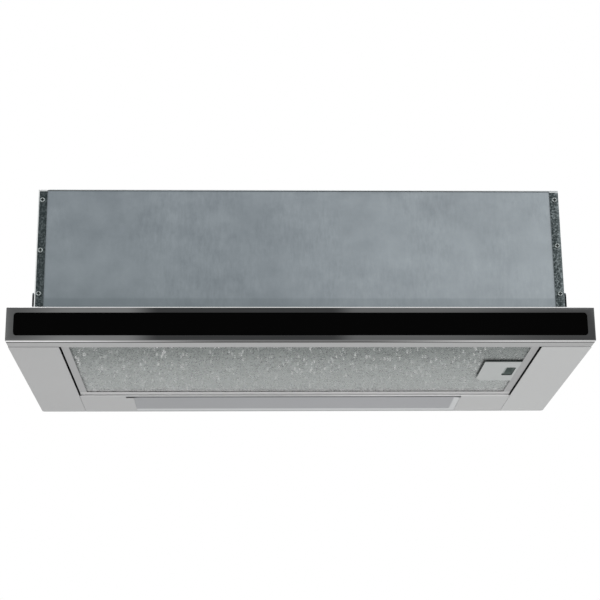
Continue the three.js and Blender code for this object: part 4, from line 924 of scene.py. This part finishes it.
# below this the rails are painted dark as shade
RAIL_UNDERSIDE = 12.6 * MM
tray_zinc = zinc_plated("tray_zinc_plate_with_shade", shade(158, 163, 165), shade(186, 190, 192))
ledge_shade = tray_zinc.along("Z").below(RAIL_UNDERSIDE, 0.2 * MM)
tray_zinc.set(Base_Color=tray_zinc.mix(ledge_shade, tray_zinc.tone, shade(48, 50, 50)))
formed("tray_frame", tray_zinc, 0.2)
for side in ("left", "right"):
    for kind in ("slide_outer", "slide_inner", "ball_cage"):
        formed(f"{kind}_{side}", zinc_plate, 0.05 if kind == "ball_cage" else 0.2)


# ---- lamp -------------------------------------------------------------------------------------------
# A frosted lens lies in the lamp panel under a strip of light-emitting diodes. Its left end is
# rounded, and it has a flat bevel at the right end and along the rear. The bevels are painted pale
# as light, the front in the slit is painted dark as shade, and the lens is painted lighter to the
# right.

LENS_PLAY = 0.25                   # how far the lens's sides swell towards the window's
LENS_X = (LENS_LOW[0] - LENS_PLAY, LENS_HIGH[0] + LENS_WIDER + LENS_PLAY)
LENS_Y = (LENS_LOW[1], LENS_HIGH[1] + LENS_PLAY)
LENS_FRONT_Z, LENS_LOW_Z, LENS_REAR_Z, LENS_TOP_Z = 0.85, 0.4, 0.3, 9.0
LEFT_END_Z, RIGHT_END_Z = 0.2, 0.15
LENS_BEVEL_Y = 139.5
LEFT_ROUND, RIGHT_BEVEL = 7.0, 7.0
FRONT_ROUND, FRONT_RISE = 0.8, 0.4
LENS_WALL = 1.6
LENS_SLIT = 0.55                   # this much of the lens's front lies in the slit, painted dark as shade


def lens_shell(name):
    """The underside is a height over the plan: falling a little from the front edge to the rear
    bevel and less over the bevel. To it add a low round at the left end and a slope at the right
    one, so that the ends lie flush with the panel. The walls are the plan's rim, lifted."""
    xs = np.concatenate([
        LENS_X[0] + LEFT_ROUND * (1 - np.cos(np.linspace(0, np.pi / 2, 10))),
        np.linspace(LENS_X[0] + LEFT_ROUND, LENS_X[1] - RIGHT_BEVEL, 40)[1:],
        np.linspace(LENS_X[1] - RIGHT_BEVEL, LENS_X[1], 5)[1:],
    ])
    ys = np.concatenate([
        LENS_Y[0] + np.array([0, 0.15, 0.4, 0.8]), np.linspace(LENS_Y[0] + 1.4, LENS_BEVEL_Y, 14),
        np.linspace(LENS_BEVEL_Y, LENS_Y[1] - 0.5, 6)[1:], [LENS_Y[1] - 0.15, LENS_Y[1]],
    ])
    px, py = np.meshgrid(xs, ys, indexing="ij")
    low = np.interp(py, [LENS_Y[0], LENS_BEVEL_Y, LENS_Y[1]], [LENS_FRONT_Z, LENS_LOW_Z, LENS_REAR_Z])
    from_left = np.clip(1 - (px - LENS_X[0]) / LEFT_ROUND, 0, 1)
    low = low - (low - LEFT_END_Z) * (1 - np.sqrt(1 - from_left ** 2))
    low = low - (low - RIGHT_END_Z) * np.clip(1 - (LENS_X[1] - px) / RIGHT_BEVEL, 0, 1)
    low = low + FRONT_RISE * np.clip(1 - (py - LENS_Y[0]) / FRONT_ROUND, 0, 1) ** 2
    px, py = np.pad(px, 1, "edge"), np.pad(py, 1, "edge")
    high = np.pad(low, 1, constant_values=LENS_TOP_Z)
    made = shape(name, np.stack([px, py, high], -1), grid_faces(*px.shape))
    made.data.shade_smooth()
    wall = made.modifiers.new("wall", "SOLIDIFY")
    wall.thickness = LENS_WALL * MM
    wall.offset = -1.0
    return made


frosted = Finish("frosted_lens")
haze = frosted.noise(24, 3)
grain = frosted.noise(1200, 2)
# painted light: the lens is lighter to the right
cloudy = 0.5 * haze + 0.2 * grain + 0.3 * frosted.along("X").above(-0.02, 0.16)
lens_tone = frosted.mix(cloudy, shade(147, 149, 151), shade(172, 173, 177))
# painted light: pale bevels at the rear and at the right end
rear_bevel_light = frosted.along("Y").above(LENS_BEVEL_Y * MM, 0.5 * MM)
right_bevel_light = frosted.along("X").above((LENS_X[1] - RIGHT_BEVEL) * MM, 1.2 * MM)
lens_tone = frosted.mix(rear_bevel_light.larger(right_bevel_light), lens_tone, shade(208, 210, 211))
slit_shade = frosted.along("Y").below((LENS_Y[0] + LENS_SLIT) * MM, 0.25 * MM)
frosted.set(
    Base_Color=frosted.mix(slit_shade, lens_tone, shade(66, 68, 72)), Roughness=0.36 + 0.16 * haze,
    Normal=frosted.bump(grain, 0.02, 0.4),
)
place_piece(lens_shell("lens_shell"), frosted, "casing", "lamp_diffuser", "lamp_lens")
formed("led_strip", solder_mask, 0.15)


# ---- inner filter -----------------------------------------------------------------------------------
# A fixed filter over the throat: the same channel frame, with coarser expanded metal.

inner_aluminium = satin_metal("satin_aluminium_inner", 172)
formed("inner_filter_frame", inner_aluminium, 0.25)
INNER_LOW, INNER_HIGH = (np.array(corner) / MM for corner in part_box("inner_filter_mesh"))
SHEET_EDGE, PACK_EDGE = 0.5, 0.4
inner_sheet = expanded_sheet(
    "inner_filter_sheet", (INNER_LOW[0] + SHEET_EDGE, INNER_HIGH[0] - SHEET_EDGE),
    (INNER_LOW[1] + SHEET_EDGE, INNER_HIGH[1] - SHEET_EDGE), INNER_LOW[2] + 0.72, cell=(3.2, 4.5),
    strand=0.9, thick=0.7, flip=True,
)
place_piece(inner_sheet, strand_metal, "casing", "filter_mesh", "inner_filter_mesh")
inner_pack = foil_pack(
    "inner_filter_pack", (INNER_LOW[0] + PACK_EDGE, INNER_HIGH[0] - PACK_EDGE),
    (INNER_LOW[1] + PACK_EDGE, INNER_HIGH[1] - PACK_EDGE), (INNER_LOW[2] + 1.5, INNER_HIGH[2] - 0.6),
    cells=(173, 85), crumple=0.5, seed=12,
)
place_piece(inner_pack, foil_metal, "casing", "filter_mesh")


# ---- blower -----------------------------------------------------------------------------------------
# Two black moulded halves make a scroll with an inlet at each side. A moulded drum turns in it on
# the motor's shaft, and the motor hangs from a bracket on the left half.

for node in ("blower_half_left", "blower_half_right"):
    formed(node, black_moulding, 0.3)
wheel_moulding = moulding("wheel_moulding", shade(38, 39, 41), shade(54, 55, 57))
formed("fan_wheel", wheel_moulding, 0.08, 1)
for node in ("motor_shaft", "wheel_nut", "motor", "motor_bracket"):
    formed(node, zinc_plate, 0.2)


# ---- outlet -----------------------------------------------------------------------------------------
# A black moulded collar for a round duct, with two flaps on one steel axle that shut by their
# own weight.

for node in ("outlet_collar", "flap_rear", "flap_front"):
    formed(node, black_moulding, 0.2)
formed("flap_axle", zinc_plate, 0.15)


# ---- electrics --------------------------------------------------------------------------------------
# Terminal box with a push-on lid, capacitor, bushing for the mains lead and the tray's switch.

for node in ("terminal_box", "terminal_lid", "cable_bushing", "tray_switch"):
    formed(node, black_moulding, 0.3)
white_moulding = moulding("white_moulding", shade(214, 214, 208), shade(230, 230, 225))
formed("capacitor", white_moulding, 0.4)
